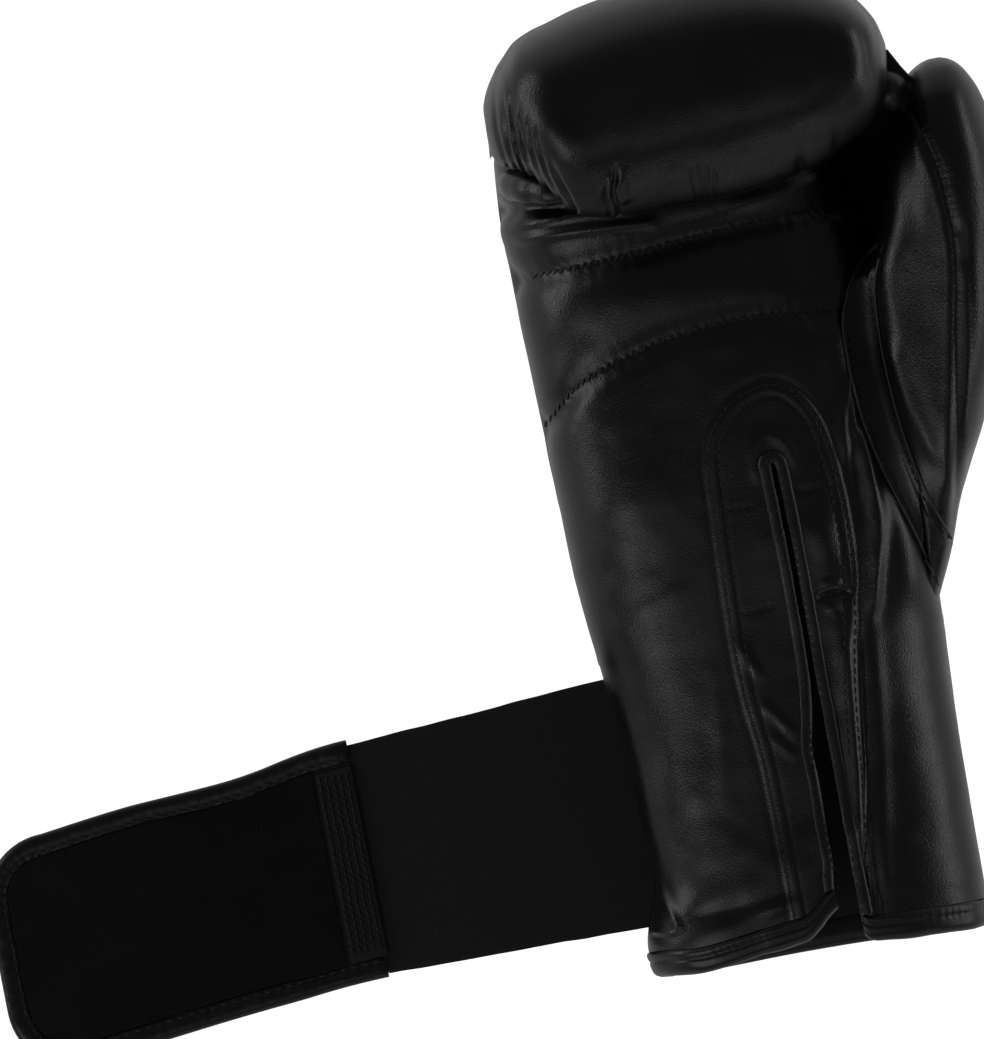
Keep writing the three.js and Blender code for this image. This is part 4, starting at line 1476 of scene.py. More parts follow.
@dataclass
class Gusset:
    """Strip of leather that joins the palm to the thumb."""

    rows: int = 240
    columns: int = 28
    sag: float = 1.4
    low: float = -52.0
    high: float = 53.0
    corner: float = -40.5
    smoothing: int = 13

    def build(self, finishes: Finishes) -> Patch:
        """Makes the strip.

        Args:
            finishes: the glove's finishes.

        Returns:
            Its points and faces.
        """
        y = np.linspace(self.low, self.high, self.rows)
        left = GUSSET_PALM.x_at(y)
        brink = np.interp(y, [self.low, self.corner], [53.0, 58.4])
        right = np.where(y < self.corner, brink, GUSSET_THUMB.x_at(y))
        z_left = section_height(HAND, left, y) - 0.2
        z_left += thumb_side_lift(left, y) * ease((z_left - SPLIT_HEIGHT) / 14)
        z_right = section_height(THUMB, right, y)
        z_right += 0.3 - thumb_slope(right, y, z_right)
        z_left, z_right = smoothed(z_left, self.smoothing), smoothed(z_right, self.smoothing)
        t = np.linspace(0, 1, self.columns)[None, :]
        x = left[:, None] + (right - left)[:, None] * t
        spread = np.clip((right - left) / 10, 0, 1)[:, None]
        z = z_left[:, None] * (1 - t) + z_right[:, None] * t - self.sag * 4 * t * (1 - t) * spread
        yy = np.repeat(y[:, None], self.columns, axis=1)
        thumb_z = section_height(THUMB, x, yy)
        thumb_z += 0.3 - thumb_slope(x, yy, thumb_z)
        near_thumb = ease((t - 0.35 * ease((yy + 46) / 18) + 0.3) / 0.3)
        z += near_thumb * np.maximum(thumb_z - z, 0)
        z += 0.25 * lumps(x, yy, 7.0, 71) - 0.4 * bump(t, 0.05) - 0.5 * bump(1 - t, 0.05)
        z += 0.35 * bump((1 - t) * 10 * spread - 2.2, 0.9)
        points = np.stack([x, yy, z], axis=-1)[:, ::-1]
        cells = grid_quads(points)
        bin_ = MeshBin()
        bin_.add(points, cells, 0, normals_of(points))
        dress(bin_.make("thumb_gusset", [finishes["black_leather"]]), "thumb_gusset")
        return points, cells


class Ground:
    """Finds the height of the finished skins under a place."""

    def __init__(self, patches: Sequence[Patch]) -> None:
        """Gathers the surfaces.

        Args:
            patches: points and faces of each.
        """
        points, faces, count = [], [], 0
        for patch, cells in patches:
            points.append(patch.reshape(-1, 3))
            faces += (cells + count).tolist()
            count += len(points[-1])
        self.tree = BVHTree.FromPolygons(np.concatenate(points).tolist(), faces)

    def at(self, x: float, y: float) -> tuple[Vector, Vector]:
        """Highest point over a place.

        Args:
            x: its X.
            y: its Y.

        Returns:
            The point and the normal there, or the place itself on the floor.
        """
        hit, normal, _, _ = self.tree.ray_cast(Vector((x, y, 300.0)), Vector((0, 0, -1)))
        if hit is None:
            return Vector((x, y, 0.0)), Vector((0, 0, 1))
        return hit, normal if normal.z > 0 else -normal


def tube(path: Array, sides: int, reach: Array, rise: Array, normals: Array) -> Patch:
    """Round bar swept along a path, open at both ends.

    Args:
        path: its points.
        sides: points round it.
        reach: half width at each point.
        rise: half height at each point.
        normals: which way is up at each point.

    Returns:
        Its points and faces.
    """
    way = unit(np.gradient(path, axis=0))
    side = unit(np.cross(way, normals))
    up = np.cross(side, way)
    angle = np.linspace(0, 2 * math.pi, sides, endpoint=False)
    ring = np.cos(angle)[None, :, None] * side[:, None, :] * reach[:, None, None]
    ring = ring + np.sin(angle)[None, :, None] * up[:, None, :] * rise[:, None, None]
    points = path[:, None, :] + ring
    return points.reshape(-1, 3), grid_quads(points, True)


def end_caps(rows: int, sides: int) -> Array:
    """Flat faces that close both ends of a tube, as triangles from one corner.

    Args:
        rows: number of points along it.
        sides: number of points round it.

    Returns:
        The triangles, by index into the tube's points.
    """
    first = np.arange(1, sides - 1)
    low = np.column_stack([np.zeros_like(first), first, first + 1])
    high = np.column_stack([np.zeros_like(first), first + 1, first]) + (rows - 1) * sides
    return np.vstack([low, high])


def bar(path: Array, sides: int, reach: Array, rise: Array, normals: Array) -> list[Patch]:
    """Round bar closed at both ends, as its two patches; it takes what a tube takes."""
    points, faces = tube(path, sides, reach, rise, normals)
    return [(points, faces), (points, end_caps(len(path), sides))]


def stitch(path: Array, size: float, tip: float, normals: Array) -> Patch:
    """One stitch, thin at both ends.

    Args:
        path: its points.
        size: half its width in the middle.
        tip: width of its ends as a share of that.
        normals: which way is up at each point.

    Returns:
        Its points and triangles.
    """
    swell = size * np.array([tip, 0.95, 1.0, 0.95, tip])
    points, quads = tube(path, STITCH_SIDES, swell, swell, normals)
    caps = end_caps(STITCH_POINTS, STITCH_SIDES)
    return points, np.vstack([quads[:, [0, 1, 2]], quads[:, [0, 2, 3]], caps])


@dataclass
class Stitching:
    """Rows of sewn stitches that lie on the leather."""

    ground: Ground
    length: float = 1.9
    thick: float = 0.26

    def row(
        self,
        line: Line,
        aside: float,
        pitch: float,
        start: float = 0.0,
        stop: float | None = None,
        slant_deg: float = 0.0,
        bold: float = 1.0,
    ) -> Patch:
        """Lays a row of stitches.

        Args:
            line: line that the row follows.
            aside: distance to the left of it.
            pitch: from one stitch to the next.
            start: where the row starts along the line.
            stop: where it ends, or None for the line's end.
            slant_deg: turn of each stitch from the line.
            bold: how much bigger the stitches are.

        Returns:
            Points and faces of all its stitches.
        """
        at = np.arange(start + pitch / 2, (line.length if stop is None else stop) - pitch / 2, pitch)
        xy, way = line.place(at, aside)
        turn = math.radians(slant_deg)
        way = way @ np.array([[math.cos(turn), math.sin(turn)], [-math.sin(turn), math.cos(turn)]])
        points, faces = [], []
        for k in range(len(at)):
            path, normals = [], []
            for t in (-0.5, -0.3, 0.0, 0.3, 0.5):
                hit, normal = self.ground.at(*(xy[k] + way[k] * t * self.length * bold))
                sink = 0.5 * self.thick if abs(t) < 0.4 else -0.5 * self.thick
                path.append(np.array(hit) + np.array(normal) * sink)
                normals.append(np.array(normal))
            if np.ptp([place[2] for place in path]) > 3 * self.length:
                continue
            thread, triangles = stitch(np.array(path), self.thick * bold, 0.55, np.array(normals))
            faces.append(triangles + STITCH_POINTS * STITCH_SIDES * len(points))
            points.append(thread)
        return np.concatenate(points), np.concatenate(faces)


@dataclass
class Trim:
    """What is sewn on the hand: slit binding, hem band, edge beads and rows of stitches."""

    patches: list[Patch]
    binding: Patch | None = None
    binding_sides: int = 20
    hem_columns: int = 420
    bead_step: float = 0.8
    bead_sides: int = 8

    def slit_binding(self, finishes: Finishes) -> None:
        """Flat rounded binding up one side of the slit, round its top and down the other.

        Args:
            finishes: the glove's finishes.
        """
        low, high = BAND_TOP + 0.3, SLIT.top_y - 3
        legs = np.arange(low, high, 1.0)
        left, right = SLIT.edges(legs)
        radius = SLIT.top_gap / 2 + SLIT.half_width
        arch = np.linspace(math.pi, 0, 16)[1:-1]
        arch_xy = np.column_stack([SLIT.top_x + radius * np.cos(arch), high + radius * np.sin(arch)])
        up = np.column_stack([left - SLIT.half_width, legs])
        down = np.column_stack([right + SLIT.half_width, legs])[::-1]
        xy = np.vstack([up, arch_xy, down])
        x, y = xy.T
        z = section_height(HAND, x, y) + palm_relief(x, y) + SLIT.half_height * 0.3
        path = mouth_lift(np.column_stack([xy, z]))
        s = np.arange(len(path)) * 1.0
        loose = 1 + 0.03 * np.sin(s * 1.9) + 0.05 * lumps_along(s, 4.0, 41)
        up_way = upward(len(path))
        up_way[:, 0] = 0.35 * ease((-path[:, 1] - 66) / 20) * (s < len(up))
        size = SLIT.half_width * loose, SLIT.half_height * loose
        patches = bar(path, self.binding_sides, *size, unit(up_way))
        make_piece("slit_binding", finishes["binding_leather"], patches, "slit_binding")
        self.binding = patches[0]

    def hem(self, finishes: Finishes) -> None:
        """Stitched band folded over the mouth of the cuff, open at the slit.

        Args:
            finishes: the glove's finishes.
        """
        left, right = SLIT.edges(np.array([HEM_EDGE + 4]))
        groove = [(BAND_TOP - k, HAND, 0.9 - 0.35 * bump(k - 3.4, 0.7)) for k in np.arange(2.0, 6.4, 0.4)]
        shape = [
            *[(BAND_TOP, HAND, -0.3), (BAND_TOP - 0.5, HAND, 0.55), (BAND_TOP - 1.2, HAND, 0.9)],
            *groove,
            *[(HEM_EDGE + 1.2, HAND, 0.7), (HEM_EDGE + 0.4, HAND, 0.1), (HEM_EDGE, HAND, -0.9)],
            *[(HEM_EDGE, HOLLOW, 0.9), (HEM_EDGE + 0.5, HOLLOW, 0.1), (HEM_EDGE + 1.5, HOLLOW, -0.5)],
            *[(HEM_EDGE + 4.0, HOLLOW, -0.6), (BAND_TOP, HOLLOW, -0.4)],
        ]
        grid = []
        for y, table, off in shape:
            row = rows_of(table, np.array([y]))[0]
            for side, out in (("left", -off), ("right", off), ("floor", -off), ("top", off)):
                row[side] += out
            ring = section_arc(row, math.pi / 2, math.pi / 2 + 2 * math.pi, 900)
            keep = ~((ring[:, 0] > left[0]) & (ring[:, 0] < right[0]) & (ring[:, 2] > 40))
            kept = np.flatnonzero(keep)
            gap = np.argmax(np.diff(kept, append=kept[0] + len(ring)) > 1)
            grid.append(even_columns(ring[np.roll(kept, -(gap + 1))], self.hem_columns))
        base = np.array(grid)
        s = np.linspace(0, 1, base.shape[1])[None, :] * 330
        near_seam = bump(base[..., 1] - (BAND_TOP - 2.6), 1.8)
        wave = 0.13 * np.sin(2 * math.pi * s / 2.9 + 3 * lumps_along(s, 7.0, 44)) * near_seam
        wave = wave * (0.5 + 0.5 * lumps_along(s, 13.0, 45))
        wave += 0.45 * lumps(s, base[..., 1], 9.0, 43) * ease((base[..., 2] - 30) / 10)
        base = mouth_lift(base + normals_of(base) * wave[..., None])
        make_piece("hem_binding", finishes["binding_leather"], band(base), "hem_binding")

    def bead(
        self, name: str, line: Line, start: float, stop: float, radius: float, finishes: Finishes
    ) -> None:
        """Fine turned edge that stands up along a seam, in lighter grey leather that paints a highlight along
        it.

        Args:
            name: name of the piece.
            line: seam that it follows.
            start: where it starts along the line.
            stop: where it ends.
            radius: half its width.
            finishes: the glove's finishes.
        """
        xy, _ = line.place(np.arange(start, stop, self.bead_step))
        ground = Ground(self.patches)
        hits = [ground.at(*p) for p in xy]
        path = np.array([np.array(h) + np.array(n) * radius * 0.6 for h, n in hits])
        path[:, 2] = smoothed(path[:, 2], 7)
        size = np.full(len(path), radius)
        edge = bar(path, self.bead_sides, size, size, np.array([np.array(n) for _, n in hits]))
        make_piece(name, finishes["painted_light_leather"], edge)

    def stitches(self, finishes: Finishes) -> None:
        """Every row of stitches on the palm side, one piece a seam.

        Args:
            finishes: the glove's finishes.
        """
        sewing = Stitching(Ground(self.patches + [self.binding]))
        rows = {
            "patch_stitches": [
                (PATCH_LINE, -1.2, 2.9, 16, PATCH_LINE.length - 16),
                (PATCH_LINE, -4.4, 2.9, 60, PATCH_LINE.length - 62),
            ],
            "slit_stitches": [
                (Line([(10.9, -144), (11.3, -100), (11.4, -60), (11.7, -25), (11.2, -8)]), 0, 2.6, 0, None),
                (
                    Line([(5.0, -130), (5.0, -96), (8.0, -72), (8.8, -53), (9.0, -25), (8.8, -8)]),
                    0, 2.6, 0, None,
                ),
            ],
            "gusset_stitches": [
                (GUSSET_PALM, -1.5, 2.9, 30, GUSSET_PALM.length - 22),
                (GUSSET_THUMB, 1.5, 2.9, 34, GUSSET_THUMB.length - 12),
            ],
            "cross_stitches": [
                (Line([(15.4, -15.9), (27, -15.3)]), 0, 2.4, 0, None),
                (Line([(15.4, -47.6), (27, -48.3)]), 0, 2.4, 0, None),
                (Line([(-8, -16.8), (4.4, -17.3)]), 0, 2.4, 0, None),
                (Line([(-9, -48.6), (4.4, -48.1)]), 0, 2.4, 0, None),
            ],
            "chain_stitches": [
                (GRIP_LINE, 0.0, 2.1, 20, 108, 34.0, 1.15),
                (PALM_LINE, 0.0, 2.1, 18, PALM_LINE.length - 1, 34.0, 1.15),
            ],
        }
        for name, lines in rows.items():
            make_piece(name, finishes["thread"], [sewing.row(*line) for line in lines])

    def build(self, finishes: Finishes) -> None:
        """Makes the trim.

        Args:
            finishes: the glove's finishes.
        """
        self.slit_binding(finishes)
        self.hem(finishes)
        self.bead("gusset_edge", GUSSET_PALM, 14, GUSSET_PALM.length - 2, 0.5, finishes)
        self.bead("thumb_edge", GUSSET_THUMB, 24, GUSSET_THUMB.length - 6, 0.42, finishes)
        self.stitches(finishes)


@dataclass
class Strap:
    """Elastic wrist strap with a bound tab, a hook field and a stitched join."""

    outer: float = -132.0
    inner: float = -36.0
    thick: float = 1.8
    start: float = -131.4
    end: float = -247.0
    upper_start: float = -64.4
    lower_start: float = -135.8
    corner: float = 20.0
    base: float = 2.0
    binding: float = 6.3
    height: float = 3.7
    join_width: float = 11.0
    columns: int = 60
    thread: float = 0.36
    stitch_inset: float = 5.2
    stitch_pitch: float = 3.4
    stitch_height: float = 3.05
    join_rows: int = 5
    join_pitch: float = 2.1
    binding_step: float = 0.8

    edges: Table = Table(
        "x upper lower",
        [
            (-240, -74.6, -145.6),
            (-228, -73.6, -144.8),
            (-215, -72, -143.2),
            (-200, -70.4, -141.6),
            (-185, -69.6, -140),
            (-170, -68.7, -138.6),
            (-160, -67.4, -137.8),
            (-150, -65.4, -136.8),
            (-142, -64.1, -136.2),
            (-135, -63.4, -135.9),
            (-131, -63.2, -135.8),
        ],
    )

    def outline(self, margin: float, step: float = 1.2) -> Array:
        """Outline of the tab, drawn in by a margin.

        Args:
            margin: distance inside the bound edge.
            step: distance between points.

        Returns:
            Points from the sewn end's upper corner round to its lower one.
        """
        corner_x = self.end + self.corner
        xs = np.arange(self.start, corner_x, -3.0)
        along = self.edges(np.append(xs, corner_x))
        upper = [(x, y - margin) for x, y in zip(along["x"], along["upper"])]
        lower = [(x, y + margin) for x, y in zip(along["x"], along["lower"])][::-1]
        r = self.corner - margin
        turn = np.linspace(0, math.pi / 2, 14)
        x0 = self.end + margin
        first = [(x0 + r * (1 - math.sin(a)), upper[-1][1] - r * (1 - math.cos(a))) for a in turn]
        second = [(x0 + r * (1 - math.sin(a)), lower[0][1] + r * (1 - math.cos(a))) for a in turn[::-1]]
        corner = np.array(upper[:-1] + first + second + lower[1:])
        run = run_along(corner)
        return points_at(np.arange(0, run[-1], step), run, corner)

    @staticmethod
    def slab(outline: Array, low: float, high: float, edge: float) -> Patch:
        """Flat plate with softened edges.

        Args:
            outline: its outline, closed.
            low: height of its underside.
            high: height of its top.
            edge: radius of the edge.

        Returns:
            Points and faces.
        """
        outline = even_outline(outline, 1.2)
        turned = np.roll(outline, -1, axis=0)
        if np.sum(outline[:, 0] * turned[:, 1] - outline[:, 1] * turned[:, 0]) < 0:
            outline = outline[::-1]
        centre = outline.mean(axis=0)
        tangent = np.roll(outline, -1, axis=0) - np.roll(outline, 1, axis=0)
        out = unit(np.column_stack([tangent[:, 1], -tangent[:, 0]]))
        if np.sum(out * (outline - centre)) < 0:
            out = -out
        levels = [
            *[(-edge, low), (0.0, low + edge * 0.6), (0.0, high - edge * 0.6)],
            *[(-edge * 0.35, high - edge * 0.15), (-edge, high), (-edge - 0.2, high)],
        ]
        rings = [np.column_stack([outline + out * off, np.full(len(outline), z)]) for off, z in levels]
        points = np.concatenate(rings + [[[*centre, low]], [[*centre, high]]])
        n = len(outline)
        index = np.arange(n)
        nxt = np.roll(index, -1)
        faces = []
        for k in range(len(levels) - 1):
            faces.append(np.column_stack([index + k * n, nxt + k * n, nxt + (k + 1) * n]))
            faces.append(np.column_stack([index + k * n, nxt + (k + 1) * n, index + (k + 1) * n]))
        last = (len(levels) - 1) * n
        faces.append(np.column_stack([nxt, index, np.full(n, len(points) - 2)]))
        faces.append(np.column_stack([index + last, nxt + last, np.full(n, len(points) - 1)]))
        return points, np.concatenate(faces)

    def build(self, finishes: Finishes) -> None:
        """Makes the strap's pieces.

        Args:
            finishes: the glove's finishes.
        """
        self.make_elastic(finishes)
        self.make_tab(finishes)
        self.make_binding(finishes)
        self.make_join(finishes)

    def make_elastic(self, finishes: Finishes) -> None:
        """Elastic webbing, thin where it is sewn under the cuff.

        Args:
            finishes: the glove's finishes.
        """
        xs = np.arange(self.inner, self.outer - 0.01, -1.0)
        t = np.clip((xs + 50) / (self.outer + 50), 0, 1)
        upper = -60 + (self.upper_start - 0.5 + 60) * t + 0.15 * lumps_along(xs, 7.0, 51)
        lower = -136 + (self.lower_start + 1 + 136) * t + 0.15 * lumps_along(xs, 7.0, 52)
        v = np.linspace(0, 1, self.columns)
        y = upper[:, None] + (lower - upper)[:, None] * v[None, :]
        x = np.tile(xs[:, None], (1, self.columns))
        room = []
        for i, row in enumerate(rows_of(HAND, y[:, self.columns // 2])):
            middle, half = (row["left"] + row["right"]) / 2, (row["right"] - row["left"]) / 2
            belly = (1 - min(abs(xs[i] - middle) / half, 1.0) ** LOWER_POWER) ** (1 / LOWER_POWER)
            room.append(row["side"] - (row["side"] - row["floor"]) * belly - 0.3)
        top = np.minimum(self.thick, np.maximum(np.array(room), 0.5))[:, None] + 0 * y
        top = top - 0.5 * bump(v, 0.006) - 0.5 * bump(v - 1.0, 0.006) + 0.06 * lumps(x, y, 12, 53)
        upper_grid = np.stack([x, y, np.clip(top, 0.2, self.thick)], axis=-1)
        lower_grid = np.stack([x, y, np.zeros_like(y)], axis=-1)
        cells = grid_quads(upper_grid)
        rim_top = np.vstack(
            [upper_grid[0], upper_grid[1:, -1], upper_grid[-1, -2::-1], upper_grid[-2:0:-1, 0]],
        )
        rim_low = rim_top.copy()
        rim_low[:, 2] = 0
        n = len(rim_top)
        index, nxt = np.arange(n), np.roll(np.arange(n), -1)
        rim = np.vstack([rim_top, rim_low]), np.column_stack([index, index + n, nxt + n, nxt])
        patches = [(upper_grid, cells), (lower_grid, cells[:, ::-1]), rim]
        obj = make_piece("strap_elastic", finishes["elastic_webbing"], patches, "strap_elastic")

    def make_tab(self, finishes: Finishes) -> None:
        """Leather base of the tab and its hook field.

        Args:
            finishes: the glove's finishes.
        """
        tab = self.slab(self.outline(1.3), 0.0, self.base, 0.3)
        make_piece("strap_tab", finishes["black_leather"], [tab], "strap_tab")
        rim = self.outline(self.binding + 0.3)
        rim = rim[rim[:, 0] < self.start - self.join_width - 0.3]
        hooks = self.slab(rim, self.base + 0.1, self.base + 1.4, 0.3)
        make_piece("hook_field", finishes["hook_tape"], [hooks], "hook_field")

    def make_binding(self, finishes: Finishes) -> None:
        """Glossy binding folded over the tab's three free edges, with its stitches.

        Args:
            finishes: the glove's finishes.
        """
        middle = self.outline(0.0, self.binding_step)
        tangent = np.gradient(middle, axis=0)
        inward = unit(np.column_stack([-tangent[:, 1], tangent[:, 0]]))
        if np.sum(inward * (middle.mean(axis=0) - middle)) < 0:
            inward = -inward
        s = np.arange(len(middle)) * self.binding_step
        from_end = np.minimum(s, s[::-1])
        loose = 1 + 0.05 * lumps_along(s, 6.0, 61) + 0.07 * lumps_along(s, 17.0, 62)
        profile = [
            *[(1.3, 0.0), (0.3, 0.25), (0.0, 1.2), (0.1, 2.3), (0.7, 3.25), (1.9, 3.7)],
            *[(3.4, 3.65), (4.6, 3.35), (5.3, 2.95), (5.9, 3.1), (6.3, 2.9), (6.35, 2.3)],
        ]
        grid = []
        for off, z in profile:
            pull = 0.12 * np.sin(2 * math.pi * s / self.stitch_pitch) * (1.0 if off > 4 else 0.2)
            reach = off * loose if off > 3 else np.full(len(s), off)
            lift = np.full(len(s), z)
            if z > 0.5:
                ends = 1 - 0.3 * np.exp(-from_end / 1.6)
                dents = (0.12 + 0.3 * np.exp(-from_end / 9.0)) * lumps_along(s, 2.6, 66, off * 1.3)
                lift = np.clip((z + (pull + dents)) * ends, 0, self.height + 0.3)
            grid.append(np.column_stack([middle + inward * reach[:, None], lift]))
        edge = band(np.array(grid))
        make_piece("tab_binding", finishes["binding_leather"], edge, "tab_binding")
        holes = self.outline(self.stitch_inset, self.stitch_pitch)
        self.stitch_row("binding_stitches", [holes], self.stitch_height, finishes)

    def stitch_row(self, name: str, rows: Sequence[Array], z: float, finishes: Finishes) -> None:
        """Stitches between the points of each row, at one height.

        Args:
            name: name of the piece.
            rows: points, one a stitch hole.
            z: height of the thread.
            finishes: the glove's finishes.
        """
        patches = []
        t = np.array([0.12, 0.3, 0.5, 0.7, 0.88])
        height = z + 0.25 * np.sin(t * math.pi) - 0.1
        for row in rows:
            for a, b in zip(row[:-1], row[1:]):
                path = np.column_stack([a[0] + (b[0] - a[0]) * t, a[1] + (b[1] - a[1]) * t, height])
                patches.append(stitch(path, self.thread, 0.6, upward(STITCH_POINTS)))
        make_piece(name, finishes["thread"], patches)

    def make_join(self, finishes: Finishes) -> None:
        """Band where the elastic is sewn to the tab, with several rows of stitches.

        Args:
            finishes: the glove's finishes.
        """
        near, far = self.start, self.start - self.join_width
        top, bottom = self.upper_start - self.binding - 0.4, self.lower_start + self.binding + 0.4
        outline = np.array([(near, top), (far, top - 0.9), (far, bottom - 0.9), (near, bottom)])
        join = self.slab(dense_outline(outline, 30), self.base + 0.1, self.base + 1.3, 0.35)
        make_piece("strap_join", finishes["elastic_webbing"], [join], "strap_join")
        rows = []
        for k in range(self.join_rows):
            x = near - 1.6 - self.join_pitch * k
            ys = np.arange(top - 1.5, bottom + 1.5, -2.6)
            rows.append(np.column_stack([x + 0.35 * lumps_along(ys, 5.0, 65, k), ys]))
        self.stitch_row("join_stitches", rows, self.base + 1.35, finishes)


@dataclass
class ThumbTie:
    """Keeper that ties the thumb tip to the fist, and the web at the bottom of the gap."""

    keeper_heights: tuple[float, float] = (52.0, 68.0)
    web_heights: tuple[float, float] = (28.0, 31.0)
    edge: float = 0.6
    pad_rows: int = 9
    pad_size: float = 5.2
    bead: float = 0.45

    def plate(
        self, name: str, corners: Array, heights: tuple[float, float], finish: Material
    ) -> None:
        """Makes a small plate over an outline.

        Args:
            name: name of the piece and of its solid.
            corners: corners of its outline.
            heights: heights of its underside and top.
            finish: its finish.
        """
        slab = Strap.slab(dense_outline(corners, 12), *heights, self.edge)
        make_piece(name, finish, [slab], name)

    def build(self, finishes: Finishes) -> None:
        """Makes the keeper, the web and the pad.

        Args:
            finishes: the glove's finishes.
        """
        keeper = [
            *[(63, 108), (67.6, 109.2), (70.6, 103.4), (73, 99.6)],
            *[(77, 99), (76.4, 92), (70, 94), (63.5, 99)],
        ]
        web = [
            *[(44, 44), (58, 48), (70, 60), (76, 80), (77, 97.6)],
            *[(72.4, 98.4), (67.6, 106.6), (62, 109), (44, 104)],
        ]
        leather, lining = finishes["binding_leather"], finishes["lining"]
        self.plate("thumb_keeper", np.array(keeper), self.keeper_heights, leather)
        self.plate("thumb_web", np.array(web), self.web_heights, lining)
        self.side_pad(finishes)

    def side_pad(self, finishes: Finishes) -> None:
        """Small rounded pad under the keeper, and the thumb's turned edge below it, both in lighter grey
        leather: painted light on the pad where it lies in shade, and a painted highlight along the edge.

        Args:
            finishes: the glove's finishes.
        """
        path = np.linspace((64.4, 102.5, 69.0), (69.0, 90.5, 66.0), self.pad_rows)
        size = self.pad_size * np.sin(np.linspace(0.12, math.pi - 0.12, self.pad_rows)) ** 0.6
        pad = bar(path, 24, size, size, upward(self.pad_rows))
        make_piece("keeper_pad", finishes["painted_light_leather"], pad)
        path = np.array([(70.2, 92, 68.0), (70.9, 86, 68), (70.8, 81, 68), (69.9, 75, 68)])
        size = np.full(len(path), self.bead)
        make_piece(
            "keeper_edge", finishes["painted_light_leather"],
            bar(path, 8, size, size, upward(len(path))),
        )


@dataclass(frozen=True)
class Lamp:
    """Soft rectangular light that faces the glove, measured in metres and watts."""

    name: str
    place: tuple[float, float, float]
    size: tuple[float, float]
    watts: float

    def build(self) -> None:
        """Sets the light up."""
        data = bpy.data.lights.new(self.name, "AREA")
        data.shape = "RECTANGLE"
        data.size, data.size_y = self.size
        data.energy = self.watts
        obj = bpy.data.objects.new(self.name, data)
        obj.location = self.place
        aim = Vector((0.0, 0.0, 0.05)) - Vector(self.place)
        obj.rotation_euler = aim.to_track_quat("-Z", "Y").to_euler()
        bpy.context.scene.collection.objects.link(obj)


LAMPS = [
    Lamp("left_light", (-1.5, 0.6, 0.42), (1.4, 0.5), 4.0),
    Lamp("right_light", (1.6, 0.0, 0.42), (2.0, 0.5), 4.9),
    Lamp("key_light", (-1.24, -0.9, 1.2), (1.0, 0.8), 3.2),
    Lamp("near_light", (0.2, -1.7, 0.5), (1.6, 0.3), 0.95),
    Lamp("high_light", (-0.3, -0.95, 2.0), (1.8, 0.8), 1.1),
]
WORLD_LEVELS = ((0.0, 0.36), (0.14, 0.24), (0.36, 0.15), (0.62, 0.075), (1.0, 0.062))


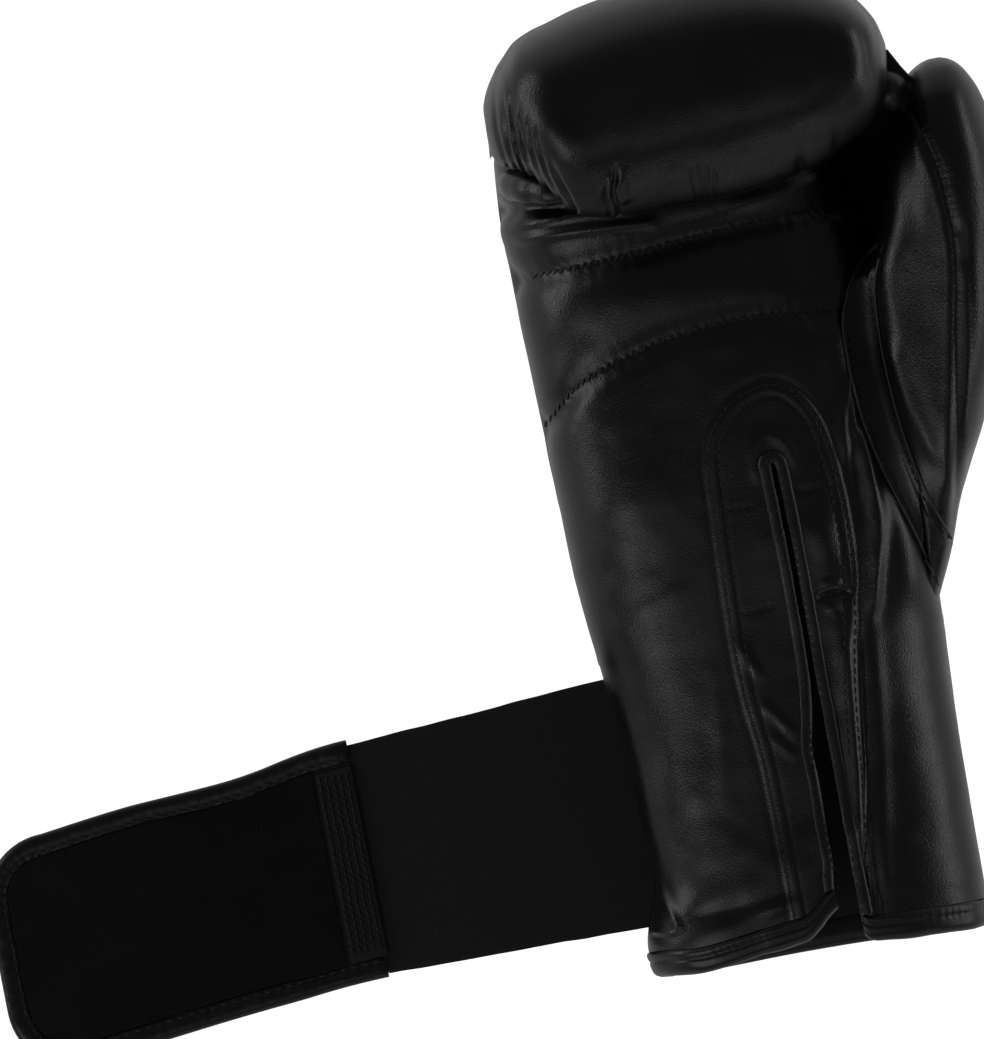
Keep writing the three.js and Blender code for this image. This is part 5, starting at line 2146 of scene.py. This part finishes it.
@dataclass
class Studio:
    """Pale floor, soft lights and the camera straight above."""

    distance: float = 12000.0
    focus_height: float = 45.0
    near_shade: float = 0.35
    floor_half: float = 6.0
    sensor: float = 36.0

    def floor(self) -> None:
        """Wide plain floor."""
        white = (1.0, 1.0, 1.0, 1.0)
        looks = {"Base Color": (0.88, 0.88, 0.88, 1.0), "Roughness": 0.9, "Specular IOR Level": 0.1}
        board = NodeBoard("studio_floor", looks | {"Emission Color": white, "Emission Strength": 1.0})
        mesh = bpy.data.meshes.new("floor")
        size = self.floor_half
        corners = [(-size, -size, 0), (size, -size, 0), (size, size, 0), (-size, size, 0)]
        mesh.from_pydata(corners, [], [(0, 1, 2, 3)])
        mesh.materials.append(board.material)
        obj = bpy.data.objects.new("floor", mesh)
        bpy.context.scene.collection.objects.link(obj)
        obj.visible_glossy = False

    @staticmethod
    def maths(tree: bpy.types.NodeTree, kind: str, first: Socket, second: Socket | float) -> Socket:
        """Adds a node that works out a value from two others.

        Args:
            tree: nodes to add to.
            kind: what it works out.
            first: socket with the first value.
            second: socket with the second value, or the value.

        Returns:
            The socket with the result.
        """
        node = tree.nodes.new("ShaderNodeMath")
        node.operation = kind
        tree.links.new(first, node.inputs[0])
        if isinstance(second, float):
            node.inputs[1].default_value = second
        else:
            tree.links.new(second, node.inputs[1])
        return node.outputs[0]

    def world(self) -> None:
        """Grey surroundings, brightest at the horizon and a little darker on the near side."""
        world = bpy.data.worlds.new("studio")
        world.use_nodes = True
        tree = world.node_tree
        height = tree.nodes.new("ShaderNodeSeparateXYZ")
        glow = tree.nodes.new("ShaderNodeValToRGB")
        while len(glow.color_ramp.elements) < len(WORLD_LEVELS):
            glow.color_ramp.elements.new(0.5)
        for stop, (place, grey) in zip(glow.color_ramp.elements, WORLD_LEVELS):
            stop.position = place
            stop.color = (grey, grey, grey, 1.0)
        tree.links.new(tree.nodes.new("ShaderNodeTexCoord").outputs["Generated"], height.inputs[0])
        toward = self.maths(tree, "MULTIPLY", height.outputs["Y"], -self.near_shade)
        kept = self.maths(tree, "MAXIMUM", toward, 0.0)
        level = self.maths(tree, "ADD", height.outputs["Z"], kept)
        tree.links.new(level, glow.inputs["Fac"])
        tree.links.new(glow.outputs["Color"], tree.nodes["Background"].inputs["Color"])
        bpy.context.scene.world = world

    def build(self) -> None:
        """Sets the floor, the lights and the camera."""
        self.floor()
        self.world()
        for lamp in LAMPS:
            lamp.build()
        scene = bpy.context.scene
        scene.view_settings.view_transform = "Standard"
        scene.view_settings.look = "None"
        data = bpy.data.cameras.new("camera")
        data.sensor_width = self.sensor
        data.sensor_fit = "VERTICAL"
        data.sensor_height = self.sensor
        data.lens = self.sensor * self.distance / (PHOTO_HEIGHT * MM_PER_PIXEL)
        data.clip_end = 50.0
        camera = bpy.data.objects.new("camera", data)
        x, y = VIEW_CENTRE
        camera.location = (x * METRE, y * METRE, (self.distance + self.focus_height) * METRE)
        camera.rotation_euler = (0.0, 0.0, -math.radians(GLOVE_LEAN_DEG))
        scene.collection.objects.link(camera)
        scene.camera = camera


def main() -> None:
    """Builds the glove piece by piece and sets the studio."""
    logging.basicConfig(level=logging.INFO, format="%(name)s %(message)s")
    finishes = Finishes()
    finishes.build()
    hand = HandShell().build(finishes)
    fist = FistPad().build(finishes)
    thumb = Thumb().build(finishes)
    gusset = Gusset().build(finishes)
    fist_and_thumb = [(skin.points, skin.quads(wrap=True)) for skin in (fist, thumb)]
    patches = [(hand.points, hand.quads()), *fist_and_thumb, gusset]
    Trim(patches).build(finishes)
    Strap().build(finishes)
    ThumbTie().build(finishes)
    Studio().build()


if __name__ == "__main__":
    main()
